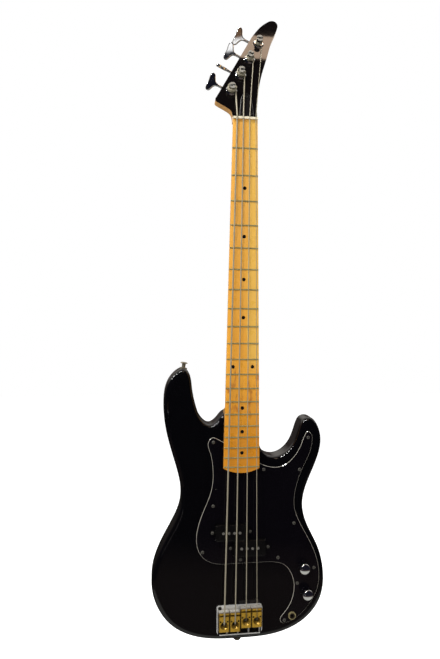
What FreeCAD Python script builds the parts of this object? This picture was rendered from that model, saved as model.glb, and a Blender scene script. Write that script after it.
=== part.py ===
import FreeCAD, Part
import math
import os
import re
from types import SimpleNamespace

import Sketcher

# A four-string electric bass with a bolt-on neck.
# Every piece is drawn lying on its back: X towards the thin strings, Y from the nut towards the headstock,
# Z out of the front. The nut's fretboard edge is Y = 0 and the body's front face is Z = 0.
# STAND then turns each piece upright, so that the finished part has +Z up the neck and its front at -Y.

Vec = FreeCAD.Vector
Rot = FreeCAD.Rotation
Place = FreeCAD.Placement
SIDE = Vec(1, 0, 0)
ALONG = Vec(0, 1, 0)
FRONT = Vec(0, 0, 1)
BACK = Vec(0, 0, -1)
ORIGIN = Vec(0, 0, 0)
STAND = Place(ORIGIN, Rot(SIDE, 90))

doc = FreeCAD.newDocument("bass_guitar")
sheet = doc.addObject("Spreadsheet::Sheet", "Sizes")

# Driving dimensions in millimetres, angles in degrees.
SIZES = (
    ("scale_length", "864", "nut to bridge, the sounding length"),
    ("fret_count", "20", "number of frets"),
    ("nut_width", "42", "width of the neck at the nut"),
    ("heel_width", "63", "width of the neck at its end in the body"),
    ("board_length", "602", "fretboard, nut to the middle of its curved end"),
    ("board_end_rise", "7.5", "how far the fretboard end curves up at its sides"),
    ("board_thickness", "5.7", "fretboard at its middle"),
    ("board_radius", "254", "curve across the fretboard"),
    ("board_height", "9.5", "fretboard surface above the body"),
    ("fret_crown", "1.15", "height of a fret and half its width"),
    ("fret_tang_depth", "1.6", "fret root in its slot"),
    ("fret_tang_width", "0.55", "fret root thickness"),
    ("fret_inset", "0.4", "fret end back from the fretboard side"),
    ("dot_radius", "3.1", "position dot"),
    ("dot_depth", "1.2", "position dot thickness"),
    ("dot_pair_offset", "16.8", "each dot of the octave pair from the middle"),
    ("nut_thickness", "3.5", "nut along the strings"),
    ("nut_rise", "2.9", "nut above the fretboard"),
    ("neck_depth_nut", "15.4", "neck wood under the fretboard at the nut"),
    ("neck_depth_heel", "17.6", "neck wood under the fretboard near the body"),
    ("heel_lead", "6", "square heel ahead of the body's edge at the neck"),
    ("heel_round", "12", "round at the top of the heel"),
    ("pocket_depth", "16", "neck pocket below the body front"),
    ("pocket_clearance", "0.15", "neck to pocket wall"),
    ("rod_radius", "3", "truss rod"),
    ("rod_length", "430", "truss rod"),
    ("rod_cover_depth", "6", "truss rod axis below the fretboard"),
    ("rod_nut_radius", "4.2", "truss rod adjusting nut"),
    ("rod_nut_length", "14", "truss rod adjusting nut"),
    ("rod_slot_width", "10", "opening for the adjusting nut"),
    ("cover_thickness", "1.8", "truss rod cover"),
    ("cover_length", "43", "truss rod cover"),
    ("cover_width", "25", "truss rod cover"),
    ("cover_bevel", "0.9", "bevel round the truss rod cover"),
    ("cover_shift", "2.6", "truss rod cover off the middle line"),
    ("cover_gap", "2", "truss rod cover from the nut"),
    ("head_tilt", "12", "headstock leaning back, degrees"),
    ("head_drop", "3.5", "headstock face below the fretboard surface at the nut"),
    ("head_length", "192.6", "headstock along its face"),
    ("head_thickness", "12", "headstock wood"),
    ("face_thickness", "0.6", "black headstock face"),
    ("body_thickness", "44", "body front to back"),
    ("body_width", "307", "body across its lower bouts"),
    ("body_length", "481", "body, tail to bass horn"),
    ("tail_length", "36", "bridge line to the tail end"),
    ("edge_radius", "9", "rounded body edges"),
    ("tuner_pitch", "35.6", "post to post"),
    ("tuner_lean", "27.7", "tuner line from the neck line, degrees"),
    ("tuner_first_left", "22.4", "first post left of the middle line"),
    ("tuner_first_up", "50.4", "first post above the nut"),
    ("post_radius", "5", "tuner post"),
    ("post_rise", "14", "tuner post above the headstock face"),
    ("post_cap_radius", "5.7", "flared top of the post"),
    ("post_cap_height", "2.2", "flared top of the post"),
    ("post_slot_width", "3.2", "slot across the post top"),
    ("post_slot_depth", "4", "slot across the post top"),
    ("post_hole_radius", "1.7", "hole down the post"),
    ("post_hole_depth", "10", "hole down the post"),
    ("post_stub_radius", "3", "post end that carries the gear"),
    ("running_clearance", "0.05", "round a turning shaft"),
    ("bush_flange_radius", "9.5", "bushing ring on the face"),
    ("bush_flange_height", "1.8", "bushing ring on the face"),
    ("bush_crown_radius", "7.4", "top of the bushing ring"),
    ("bush_sleeve_radius", "6.6", "bushing in the headstock"),
    ("bush_sleeve_length", "9", "bushing in the headstock"),
    ("tuner_plate_thickness", "1.6", "tuner base plate"),
    ("tuner_plate_length", "34", "tuner base plate along the headstock edge"),
    ("tuner_plate_width", "29", "tuner base plate across"),
    ("tuner_plate_corner", "4", "tuner base plate corner round"),
    ("tuner_plate_shift", "4", "tuner base plate centre past the post"),
    ("tuner_screw_inset", "3.4", "tuner screw from the plate edge"),
    ("gear_teeth", "20", "worm gear teeth"),
    ("gear_thickness", "4", "worm gear"),
    ("gear_gap", "5.2", "worm gear behind its plate"),
    ("worm_pitch", "2.4", "worm thread"),
    ("worm_pitch_radius", "3.1", "worm thread at mid height"),
    ("worm_turns", "5", "worm thread"),
    ("tooth_half_height", "0.7", "tooth above its pitch line"),
    ("tooth_root_clearance", "0.3", "under a tooth"),
    ("tooth_tip_width", "0.45", "gear tooth and worm thread at the tip"),
    ("tooth_root_width", "1.05", "gear tooth and worm thread at the root"),
    ("gear_screw_radius", "3.6", "screw that holds the gear"),
    ("gear_screw_height", "2", "screw that holds the gear"),
    ("gear_screw_shank", "1.3", "screw that holds the gear"),
    ("gear_screw_bite", "5", "screw that holds the gear, in the post"),
    ("ear_thickness", "2.2", "bracket that carries the worm shaft"),
    ("ear_span", "15", "between the two brackets"),
    ("ear_width", "9", "bracket along the plate"),
    ("ear_margin", "2.2", "bracket past the worm shaft"),
    ("key_reach", "30", "post to the key's wide part"),
    ("key_collar_radius", "3.4", "collar on the key shaft"),
    ("key_collar_length", "2", "collar on the key shaft"),
    ("button_length", "18", "key button, outwards"),
    ("button_width", "30", "key button, across"),
    ("button_thickness", "5.2", "key button"),
    ("button_round", "1.6", "edge round of the key button"),
    ("bridge_width", "80", "bridge plate"),
    ("bridge_length", "48", "bridge plate"),
    ("bridge_ahead", "27.5", "bridge plate front edge ahead of the bridge line"),
    ("bridge_thickness", "1.8", "bridge plate"),
    ("bridge_wall", "1.6", "bridge walls"),
    ("bridge_corner", "4.5", "rounded bridge plate corners"),
    ("bridge_side_height", "5", "bridge side walls"),
    ("bridge_rear_height", "9", "bridge rear wall"),
    ("string_pitch_bridge", "19.05", "strings at the bridge"),
    ("string_pitch_nut", "10.7", "strings at the nut"),
    ("string_shift_nut", "1.4", "strings off the middle line at the nut"),
    ("saddle_width", "18.2", "bridge saddle"),
    ("saddle_front", "21.5", "saddle ahead of its bowl"),
    ("saddle_back", "11.5", "saddle behind its bowl"),
    ("saddle_top", "15.1", "saddle top above the body"),
    ("saddle_lift", "2.4", "saddle above the bridge plate"),
    ("saddle_stagger", "5.3", "thin strings' saddles ahead of the others"),
    ("saddle_edge", "0.8", "rounded saddle edges"),
    ("saddle_groove_width", "3.2", "groove across the saddle"),
    ("saddle_groove_depth", "4", "groove across the saddle"),
    ("saddle_strip", "3", "saddle front strip ahead of the groove"),
    ("bowl_radius", "6.7", "string bowl in the saddle"),
    ("bowl_depth", "4.5", "string bowl in the saddle"),
    ("anchor_radius", "3.5", "string hole in the saddle"),
    ("ball_room_radius", "5.4", "room for the string's ball end"),
    ("ball_room_height", "5.2", "room for the string's ball end"),
    ("ball_radius", "3.2", "string ball end"),
    ("ball_length", "4", "string ball end"),
    ("string_height_nut", "1.8", "string underside above the fretboard at the nut"),
    ("string_height_saddle", "15.5", "string underside above the body at the saddle"),
    ("string_drop_radius", "4.1", "string bend into its saddle hole"),
    ("string_clearance", "0.4", "string winding round a post"),
    ("winding_gap", "0.82", "between turns of a string on its post"),
    ("winding_turns", "2", "turns of a string on its post"),
    ("string_e_diameter", "2.67", "thickest string"),
    ("string_a_diameter", "2.16", "second string"),
    ("string_d_diameter", "1.65", "third string"),
    ("string_g_diameter", "1.14", "thinnest string"),
    ("height_screw_radius", "1.6", "saddle height screw"),
    ("height_screw_inset", "3.1", "height screw from the saddle side"),
    ("height_screw_setback", "14.5", "height screw from the saddle front"),
    ("height_screw_sink", "2.2", "height screw top below the saddle top"),
    ("socket_radius", "0.85", "socket in a height screw"),
    ("socket_depth", "1.5", "socket in a height screw"),
    ("intonation_radius", "1.5", "saddle intonation screw"),
    ("intonation_head_radius", "2.2", "saddle intonation screw head"),
    ("intonation_head_length", "2", "saddle intonation screw head"),
    ("intonation_bite", "4", "intonation screw inside the saddle"),
    ("intonation_height", "6.6", "intonation screw above the body"),
    ("intonation_right", "6", "intonation screw right of its saddle's middle"),
    ("saddle_play", "0.1", "height screw end above the bridge plate"),
    ("wall_play", "0.3", "screw heads and collars beside a wall"),
    ("travel_room", "2", "room behind an intonation screw's end"),
    ("guard_thickness", "2.3", "pickguard"),
    ("guard_bevel", "1.2", "pickguard edge bevel"),
    ("guard_clearance", "0.4", "pickguard round the neck and pickups"),
    ("guard_hole_radius", "1.4", "spare hole in the pickguard"),
    ("pickup_length", "56", "pickup half"),
    ("pickup_width", "27.6", "pickup half"),
    ("pickup_rise", "9", "pickup top above the body"),
    ("pickup_drop", "9", "pickup below the body front"),
    ("pickup_wall", "1.5", "pickup cover"),
    ("pickup_corner", "4", "pickup cover corner round"),
    ("pickup_edge", "1.2", "pickup cover top edge round"),
    ("pickup_offset", "16", "pickup half off the middle line"),
    ("pickup_place", "720.5", "nut to the line between the pickup halves"),
    ("pickup_ear_reach", "33", "pickup screw from the middle of its half"),
    ("pickup_ear_radius", "4.6", "pickup screw ear"),
    ("pickup_ear_thickness", "1.8", "pickup screw ear"),
    ("pole_radius", "2.4", "pickup pole piece"),
    ("pole_proud", "0.4", "pole piece above the cover"),
    ("pole_pitch", "9.6", "pole to pole"),
    ("bobbin_plate", "1.6", "coil former plates"),
    ("coil_thickness", "4.5", "coil round the poles"),
    ("cavity_depth", "22", "pickup cavity in the body"),
    ("cavity_margin", "1.6", "pickup cavity round the pickup"),
    ("control_depth", "34", "control cavity in the body"),
    ("control_room", "17", "control cavity round each pot"),
    ("channel_width", "14", "wiring channel in the body"),
    ("channel_depth", "16", "wiring channel in the body"),
    ("pot_radius", "8.5", "potentiometer case"),
    ("pot_height", "9", "potentiometer case"),
    ("pot_bush_radius", "4.7", "potentiometer thread"),
    ("pot_bush_rise", "3.6", "potentiometer thread above the pickguard"),
    ("pot_nut_flats", "13", "potentiometer nut across flats"),
    ("pot_nut_height", "2", "potentiometer nut"),
    ("shaft_radius", "3", "potentiometer shaft"),
    ("shaft_rise", "12.5", "potentiometer shaft above the pickguard"),
    ("knob_radius", "9.5", "control knob"),
    ("knob_height", "17.3", "control knob above the pickguard"),
    ("knob_gap", "0.5", "control knob above the pickguard"),
    ("knob_dome", "4.4", "domed part of the knob"),
    ("knob_skirt", "1.4", "plain band under the knurl"),
    ("knob_recess_radius", "8", "hollow under the knob"),
    ("knob_recess_depth", "5", "hollow under the knob"),
    ("knurl_count", "36", "grooves round the knob"),
    ("knurl_depth", "0.45", "grooves round the knob"),
    ("knurl_width", "0.7", "grooves round the knob"),
    ("jack_bore", "3.25", "jack hole radius"),
    ("jack_sleeve", "4.7", "jack thread"),
    ("jack_rise", "3.4", "jack thread above the pickguard"),
    ("jack_nut_radius", "6.9", "jack nut"),
    ("jack_nut_height", "2.2", "jack nut"),
    ("jack_body_radius", "8", "jack below the pickguard"),
    ("jack_body_depth", "22", "jack below the pickguard"),
    ("jack_room", "10", "cavity round the jack"),
    ("capacitor_length", "12", "tone capacitor"),
    ("capacitor_width", "9", "tone capacitor"),
    ("capacitor_thickness", "4", "tone capacitor"),
    ("wire_radius", "0.9", "hook-up wire"),
    ("neck_plate_width", "46", "neck plate"),
    ("neck_plate_length", "60", "neck plate"),
    ("neck_plate_thickness", "2", "neck plate"),
    ("neck_plate_corner", "5", "neck plate corner round"),
    ("neck_plate_ahead", "29", "neck plate middle ahead of the neck's end"),
    ("neck_plate_left", "2", "neck plate middle left of the middle line"),
    ("neck_screw_inset", "7", "neck screw from the plate edge"),
    ("strap_base_radius", "6.5", "strap button base"),
    ("strap_neck_radius", "3.2", "strap button waist"),
    ("strap_head_radius", "6.6", "strap button head"),
    ("strap_base_height", "2", "strap button base"),
    ("strap_neck_height", "6.5", "strap button waist"),
    ("strap_head_height", "3", "strap button head"),
    ("strap_seat", "0.2", "tail strap button seat into the tail end"),
    ("horn_button_lean", "8", "upper strap button leaning towards the neck, degrees"),
    ("guard_screw_head", "2.9", "pickguard screw head radius"),
    ("guard_screw_rise", "1.5", "pickguard screw head height"),
    ("guard_screw_radius", "1.4", "pickguard screw shank"),
    ("guard_screw_length", "13", "pickguard screw length"),
    ("bridge_screw_head", "3.1", "bridge screw head radius"),
    ("bridge_screw_rise", "1.5", "bridge screw head height"),
    ("bridge_screw_radius", "1.8", "bridge screw shank"),
    ("bridge_screw_length", "22", "bridge screw length"),
    ("pickup_screw_head", "2.6", "pickup screw head radius"),
    ("pickup_screw_rise", "1.5", "pickup screw head height"),
    ("pickup_screw_radius", "1.2", "pickup screw shank"),
    ("pickup_screw_length", "22", "pickup screw length"),
    ("tuner_screw_head", "2.2", "tuner plate screw head radius"),
    ("tuner_screw_rise", "1.2", "tuner plate screw head height"),
    ("tuner_screw_radius", "1.1", "tuner plate screw shank"),
    ("tuner_screw_length", "9", "tuner plate screw length"),
    ("cover_screw_head", "2.2", "truss rod cover screw head radius"),
    ("cover_screw_rise", "1.2", "truss rod cover screw head height"),
    ("cover_screw_radius", "1.1", "truss rod cover screw shank"),
    ("cover_screw_length", "8", "truss rod cover screw length"),
    ("neck_screw_head", "4.8", "neck screw head radius"),
    ("neck_screw_rise", "2.4", "neck screw head height"),
    ("neck_screw_radius", "2.4", "neck screw shank"),
    ("neck_screw_length", "42", "neck screw length"),
    ("strap_screw_head", "3.7", "strap button screw head radius"),
    ("strap_screw_rise", "2.2", "strap button screw head height"),
    ("strap_screw_radius", "1.9", "strap button screw shank"),
    ("strap_screw_length", "34", "strap button screw length"),
    ("screw_drive_width", "0.8", "arm of a screw's cross"),
    ("screw_fit", "0.02", "hole round a screw"),
    ("overrun", "1", "how far cuts run past a face"),
)
for row, (alias, value, meaning) in enumerate(SIZES, 1):
    sheet.set("A%d" % row, alias)
    sheet.set("B%d" % row, value)
    sheet.set("C%d" % row, meaning)
    sheet.setAlias("B%d" % row, alias)
doc.recompute()
S = SimpleNamespace(**{alias: float(sheet.get(alias)) for alias, value, meaning in SIZES})
ALIAS_WORDS = re.compile(r"\b(%s)\b" % "|".join(alias for alias, value, meaning in SIZES))

STRING_NAMES = ("e", "a", "d", "g")
STRING_DIAMETERS = tuple(getattr(S, "string_%s_diameter" % name) for name in STRING_NAMES)
nodes = []


def bind(piece, **formulas):
    """Ties properties of a piece to the sheet, as in bind(bar, Radius="post_radius")."""
    for prop, formula in formulas.items():
        piece.setExpression(prop, ALIAS_WORDS.sub(r"Sizes.\1", formula))
    return piece


def keep(piece, label, place=STAND):
    """Names a finished piece as a node and stands it up."""
    piece.Label = label
    piece.Placement = place
    nodes.append(piece)
    return piece


def cylinder(name, radius, height, base=ORIGIN, along=FRONT):
    bar = bind(doc.addObject("Part::Cylinder", name), Radius=radius, Height=height)
    bar.Placement = Place(base, Rot(FRONT, along))
    return bar


def cone(name, radius_low, radius_high, height, base=ORIGIN, along=FRONT):
    taper = bind(doc.addObject("Part::Cone", name), Radius1=radius_low, Radius2=radius_high, Height=height)
    taper.Placement = Place(base, Rot(FRONT, along))
    return taper


def box(name, length, width, height, corner=ORIGIN):
    block = bind(doc.addObject("Part::Box", name), Length=length, Width=width, Height=height)
    block.Placement = Place(corner, Rot())
    return block


def fuse(name, pieces):
    joined = doc.addObject("Part::MultiFuse", name)
    joined.Shapes = pieces
    joined.Refine = True
    return joined


def cut(name, base, tools):
    """The base less all the tools."""
    tool = tools[0]
    if len(tools) > 1:
        tool = doc.addObject("Part::MultiFuse", name + "_tools")
        tool.Shapes = tools
    left = doc.addObject("Part::Cut", name)
    left.Base = base
    left.Tool = tool
    left.Refine = False
    return left


def common(name, base, tool):
    both = doc.addObject("Part::Common", name)
    both.Base = base
    both.Tool = tool
    return both


def group(name, pieces):
    """Separate solids in one node."""
    whole = doc.addObject("Part::Compound", name)
    whole.Links = pieces
    return whole


def given(name, shape):
    """A piece whose form only drawn curves can give."""
    piece = doc.addObject("Part::Feature", name)
    piece.Shape = shape
    return piece


def copies(name, source, places):
    """The source piece once at each of the places, in one node."""
    doc.recompute()
    solids = []
    for place in places:
        solid = source.Shape.copy()
        solid.Placement = place.multiply(solid.Placement)
        solids.append(solid)
    return given(name, Part.makeCompound(solids))


def slab(name, wire, thickness, base=0.0):
    """A flat outline given its thickness towards the front, from the height of its base."""
    outline = given(name + "_outline", Part.Face(wire))
    outline.Placement = Place(Vec(0, 0, base), Rot())
    plate = doc.addObject("Part::Extrusion", name)
    plate.Base = outline
    plate.DirMode = "Custom"
    plate.Dir = FRONT
    plate.Solid = True
    return bind(plate, LengthFwd=thickness)


def round_edges(name, base, radius, wanted):
    """Rounds the edges of the base that the wanted test picks."""
    doc.recompute()
    picks = [index for index, edge in enumerate(base.Shape.Edges, 1) if wanted(edge)]
    rounded = doc.addObject("Part::Fillet", name)
    rounded.Base = base
    rounded.Edges = [(index, radius, radius) for index in picks]
    return rounded


def upright(edge):
    """True for a straight edge that runs front to back."""
    ends = [vertex.Point for vertex in edge.Vertexes]
    return len(ends) == 2 and abs((ends[1] - ends[0]).normalize().z) > math.cos(math.radians(5))


def at_height(height):
    """A test for edges that lie at one height."""
    return lambda edge: max(abs(p.z - height) for p in edge.discretize(5)) < S.running_clearance


def padded_plate(name, width, length, thickness, holes=(), hole_radius=None):
    """A plate about its own middle, padded from a sketched rectangle and bored through."""
    body = doc.addObject("PartDesign::Body", name)
    plane = next(f for f in body.Origin.OriginFeatures if f.Role == "XY_Plane")
    sketch = body.newObject("Sketcher::SketchObject", name + "_sketch")
    sketch.AttachmentSupport = [(plane, "")]
    sketch.MapMode = "FlatFace"
    corners = [Vec(-1, -1, 0), Vec(1, -1, 0), Vec(1, 1, 0), Vec(-1, 1, 0)]
    for index in range(4):
        sketch.addGeometry(Part.LineSegment(corners[index], corners[(index + 1) % 4]), False)
    for index in range(4):
        sketch.addConstraint(Sketcher.Constraint("Coincident", index, 2, (index + 1) % 4, 1))
    for index, direction in enumerate(("Horizontal", "Vertical", "Horizontal", "Vertical")):
        sketch.addConstraint(Sketcher.Constraint(direction, index))
    sketch.addConstraint(Sketcher.Constraint("Symmetric", 0, 1, 2, 1, -1, 1))
    across = sketch.addConstraint(Sketcher.Constraint("DistanceX", 0, 1, 0, 2, 2.0))
    upwards = sketch.addConstraint(Sketcher.Constraint("DistanceY", 1, 1, 1, 2, 2.0))
    bind(sketch, **{"Constraints[%d]" % across: width, "Constraints[%d]" % upwards: length})
    pad = body.newObject("PartDesign::Pad", name + "_pad")
    pad.Profile = sketch
    bind(pad, Length=thickness)
    if holes:
        circles = body.newObject("Sketcher::SketchObject", name + "_holes")
        circles.AttachmentSupport = [(plane, "")]
        circles.MapMode = "FlatFace"
        for hole in holes:
            mark = circles.addGeometry(Part.Circle(hole, FRONT, 1.0), False)
            rim = circles.addConstraint(Sketcher.Constraint("Radius", mark, 1.0))
            bind(circles, **{"Constraints[%d]" % rim: hole_radius})
        bores = body.newObject("PartDesign::Pocket", name + "_bores")
        bores.Profile = circles
        bores.Type = "ThroughAll"
        bores.Reversed = True
    return body


def arc_from(start, heading, end):
    """The arc that leaves start along heading and reaches end."""
    chord = end - start
    half_turn = heading.getAngle(chord)
    if half_turn < 1e-6:
        return Part.LineSegment(start, end)
    corner_reach = chord.Length / (2 * math.cos(half_turn))
    corner = start + heading * corner_reach
    middle = (start + end) * 0.5
    bulge = math.tan(half_turn / 2) / math.tan(half_turn)
    return Part.Arc(start, middle + (corner - middle) * bulge, end)


def biarc(start, heading, end, final):
    """Two tangent arcs that join two points and keep both headings."""
    span = end - start
    square = 2 * (1 - heading.dot(final))
    linear = 2 * span.dot(heading + final)
    if square < 1e-9:
        reach = span.dot(span) / linear
    else:
        reach = (-linear + math.sqrt(linear ** 2 + 4 * square * span.dot(span))) / (2 * square)
    joint = (start + heading * reach + end - final * reach) * 0.5
    middle_heading = (end - final * reach) - (start + heading * reach)
    middle_heading.normalize()
    return [arc_from(start, heading, joint), arc_from(joint, middle_heading, end)]


def smooth_corner(before, corner, after, reach):
    """A tangent arc in place of a corner, with the points where it starts and ends."""
    enter = corner + (before - corner).normalize() * reach
    leave = corner + (after - corner).normalize() * reach
    return enter, arc_from(enter, (corner - enter).normalize(), leave), leave


def bent_route(points, reach_share):
    """Straight runs joined by tangent arcs, each arc as long as a share of its shorter run."""
    curves = []
    last = points[0]
    for before, corner, after in zip(points, points[1:], points[2:]):
        reach = reach_share * min((corner - before).Length, (after - corner).Length)
        enter, bend, leave = smooth_corner(before, corner, after, reach)
        curves += [Part.LineSegment(last, enter), bend]
        last = leave
    curves.append(Part.LineSegment(last, points[-1]))
    return curves


def tube(name, curves, radius):
    """A round tube along joined curves, with its volume compared with section times length."""
    route = Part.Wire([curve.toShape() for curve in curves])
    start = curves[0].value(curves[0].FirstParameter)
    heading = curves[0].tangent(curves[0].FirstParameter)[0]
    rim = Part.Wire(Part.Circle(start, heading, radius).toShape())
    solid = route.makePipeShell([rim], True, False)
    expected = math.pi * radius ** 2 * route.Length
    ratio = solid.Volume / expected
    print("%s: length %.1f, volume over section times length %.4f" % (name, route.Length, ratio))
    return solid


def own_gap(curves, apart):
    """The least distance between points of a route that are more than a given run apart along it."""
    points = []
    run = 0.0
    for curve in curves:
        first = curve.FirstParameter
        span = curve.LastParameter - first
        for step in range(GAP_STEPS):
            points.append((run + curve.length() * step / GAP_STEPS, curve.value(first + span * step / GAP_STEPS)))
        run += curve.length()
    return min((far - near).Length for start, near in points for end, far in points if end - start > apart)


def spline(points):
    """A smooth open edge through the points."""
    curve = Part.BSplineCurve()
    curve.interpolate(Points=points)
    return curve.toShape()


def outline(points):
    """A smooth closed outline through the points, in a few runs."""
    curve = Part.BSplineCurve()
    curve.interpolate(Points=points, PeriodicFlag=True)
    step = len(points) // OUTLINE_RUNS
    marks = [curve.parameter(point) for point in points[step:step * OUTLINE_RUNS:step]]
    marks = [curve.FirstParameter] + marks + [curve.LastParameter]
    runs = []
    for start, end in zip(marks, marks[1:]):
        run = curve.copy()
        run.segment(start, end)
        runs.append(run.toShape())
    return Part.Wire(runs)


def screw(name, head_radius, head_height, shank_radius, length, sunk=False):
    """A cross-head screw with its head's underside at the origin and its point backwards.

    A sunk head tapers into the piece instead, with its top at the origin."""
    if sunk:
        head = cone(name + "_head", shank_radius, head_radius, head_height, Vec(0, 0, -size_of(head_height)))
        top = 0.0
    else:
        low = cylinder(name + "_rim", head_radius, "%s * %s" % (head_height, SCREW_RIM_SHARE))
        dome = cone(name + "_dome", head_radius, "%s * %s" % (head_radius, SCREW_CROWN_SHARE),
                    "%s * %s" % (head_height, 1 - SCREW_RIM_SHARE),
                    Vec(0, 0, size_of(head_height) * SCREW_RIM_SHARE))
        head = fuse(name + "_head", [low, dome])
        top = size_of(head_height)
    shank = cylinder(name + "_shank", shank_radius, length, ORIGIN, BACK)
    blank = fuse(name + "_blank", [head, shank])
    reach = size_of(head_radius) * SCREW_CROSS_SHARE
    depth = size_of(head_height) * SCREW_CROSS_DEPTH_SHARE
    arm = S.screw_drive_width / 2
    cross = []
    for index, (wide, tall) in enumerate(((reach, arm), (arm, reach))):
        bar = Part.makeBox(2 * wide, 2 * tall, depth + S.overrun, Vec(-wide, -tall, top - depth))
        cross.append(given("%s_cross_%d" % (name, index), bar))
    return cut(name, blank, cross)


def size_of(alias):
    return getattr(S, alias)


OUTLINE_RUNS = 6
GAP_STEPS = 24
SCREW_RIM_SHARE = 0.45
SCREW_CROWN_SHARE = 0.62
SCREW_CROSS_SHARE = 0.55
SCREW_CROSS_DEPTH_SHARE = 0.6


# Places that several pieces share.

UNDERSIDE = S.board_height - S.board_thickness
TAIL = -S.scale_length - S.tail_length
NECK_EDGE_SHARE = 0.8361
HEEL_START = -(TAIL + NECK_EDGE_SHARE * S.body_length) - S.heel_lead
BODY_BACK = -S.body_thickness
HEAD = Place(Vec(0, S.nut_thickness, S.board_height - S.head_drop), Rot(SIDE, -S.head_tilt))
HEAD_BACK = -S.face_thickness - S.head_thickness
LEAN = math.radians(S.tuner_lean)
TUNERS = []
for index in range(len(STRING_NAMES)):
    reach = index * S.tuner_pitch
    middle = Vec(reach * math.sin(LEAN) - S.tuner_first_left, S.tuner_first_up + reach * math.cos(LEAN), 0)
    TUNERS.append(Place(middle, Rot(FRONT, 90 - S.tuner_lean)))
IN_HEAD = [HEAD.multiply(tuner) for tuner in TUNERS]
GEAR_RADIUS = S.gear_teeth * S.worm_pitch / (2 * math.pi)
MESH_DISTANCE = GEAR_RADIUS + S.worm_pitch_radius
PLATE_BACK = HEAD_BACK - S.tuner_plate_thickness
GEAR_FRONT = PLATE_BACK - S.gear_gap
WORM_HEIGHT = GEAR_FRONT - S.gear_thickness / 2


def shares(points, wide, tall, left=0.0, low=0.0):
    """Outline points from their shares of a width and a length."""
    return [Vec(left + x * wide, low + y * tall, 0) for x, y in points]


# Neck, fretboard, frets, dots, nut.

def neck_half_width(down):
    return (S.nut_width + (S.heel_width - S.nut_width) * max(down, 0) / S.board_length) / 2


def board_wire(start, margin):
    """The neck's tapered outline from a distance below the nut to its curved end, and a margin round it."""
    side_end = S.board_length - S.board_end_rise
    high = neck_half_width(start) + margin
    low = neck_half_width(side_end) + margin
    corners = [Vec(-high, -start, 0), Vec(-low, -side_end, 0), Vec(low, -side_end, 0), Vec(high, -start, 0)]
    tip = Vec(0, -S.board_length - margin, 0)
    edges = [Part.LineSegment(corners[0], corners[1]), Part.Arc(corners[1], tip, corners[2]),
             Part.LineSegment(corners[2], corners[3]), Part.LineSegment(corners[3], corners[0])]
    return Part.Wire([edge.toShape() for edge in edges])


def fret_place(number):
    """How far below the nut a fret lies: each fret shortens the string by a semitone."""
    return S.scale_length * (1 - 2 ** (-number / 12))


crown_axis = S.board_height - S.board_radius
board_blank = slab("fretboard_blank", board_wire(0, 0), "board_thickness", UNDERSIDE)
board_span = "board_length + 2 * overrun"
board_low = Vec(0, -S.board_length - S.overrun, crown_axis)
board_crown = cylinder("fretboard_crown", "board_radius", board_span, board_low, ALONG)
board_curved = common("fretboard_curved", board_blank, board_crown)
fret_ends = slab("fret_ends", board_wire(0, -S.fret_inset), "board_thickness + 2 * fret_crown", UNDERSIDE)
discs = []
rings = []
for number in range(1, int(S.fret_count) + 1):
    middle = Vec(0, -fret_place(number), crown_axis)
    ring = bind(doc.addObject("Part::Torus", "fret_ring_%d" % number),
                Radius1="board_radius", Radius2="fret_crown")
    ring.Placement = Place(middle, Rot(FRONT, ALONG))
    rings.append(ring)
    disc_low = middle - ALONG * (S.fret_tang_width / 2)
    discs.append(cylinder("fret_disc_%d" % number, "board_radius + overrun", "fret_tang_width", disc_low, ALONG))
slot_core = cylinder("fret_slot_core", "board_radius - fret_tang_depth", board_span, board_low, ALONG)
slot_rings = cut("fret_slots", group("fret_discs", discs), [slot_core])
crowns_full = cut("fret_crowns_full", group("fret_rings", rings), [board_crown])
crowns = common("fret_crowns", crowns_full, fret_ends)
tangs_full = common("fret_tangs_full", slot_rings, board_curved)
tangs = common("fret_tangs", tangs_full, fret_ends)
keep(fuse("frets", [crowns, tangs]), "frets")

DOT_FRETS = (3, 5, 7, 9, 15, 17, 19)
OCTAVE = 12
dot_spots = [(0.0, number) for number in DOT_FRETS]
dot_spots += [(-S.dot_pair_offset, OCTAVE), (S.dot_pair_offset, OCTAVE)]
dots = []
for index, (across, number) in enumerate(dot_spots):
    down = (fret_place(number) + fret_place(number - 1)) / 2
    surface = crown_axis + math.sqrt(S.board_radius ** 2 - across ** 2)
    base = Vec(across, -down, surface - S.dot_depth)
    dots.append(cylinder("dot_%d" % index, "dot_radius", "dot_depth + overrun", base))
dot_group = group("dot_pegs", dots)
keep(common("position_dots", dot_group, board_crown), "position_dots")
keep(cut("fretboard", board_curved, [slot_rings, dot_group]), "fretboard")


def neck_section(down, depth):
    """The neck's rounded back under a flat top."""
    half = neck_half_width(down)
    ends = [Vec(-half, -down, UNDERSIDE), Vec(half, -down, UNDERSIDE)]
    back = Part.Arc(ends[1], Vec(0, -down, UNDERSIDE - depth), ends[0])
    return Part.Wire([Part.LineSegment(ends[0], ends[1]).toShape(), back.toShape()])


neck_top = -S.nut_thickness - 3 * S.cover_gap
heel_low = HEEL_START + 2 * S.heel_round
sections = [neck_section(neck_top, S.neck_depth_nut), neck_section(0, S.neck_depth_nut),
            neck_section(heel_low, S.neck_depth_heel)]
neck_back = given("neck_back", Part.makeLoft(sections, True, True))
heel_height = "board_height - board_thickness + pocket_depth"
heel_block = slab("heel_block", board_wire(HEEL_START, 0), heel_height, -S.pocket_depth)
heel = round_edges("heel", heel_block, S.heel_round,
                   lambda edge: max((p - Vec(p.x, -HEEL_START, -S.pocket_depth)).Length
                                    for p in edge.discretize(3)) < S.running_clearance)

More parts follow.
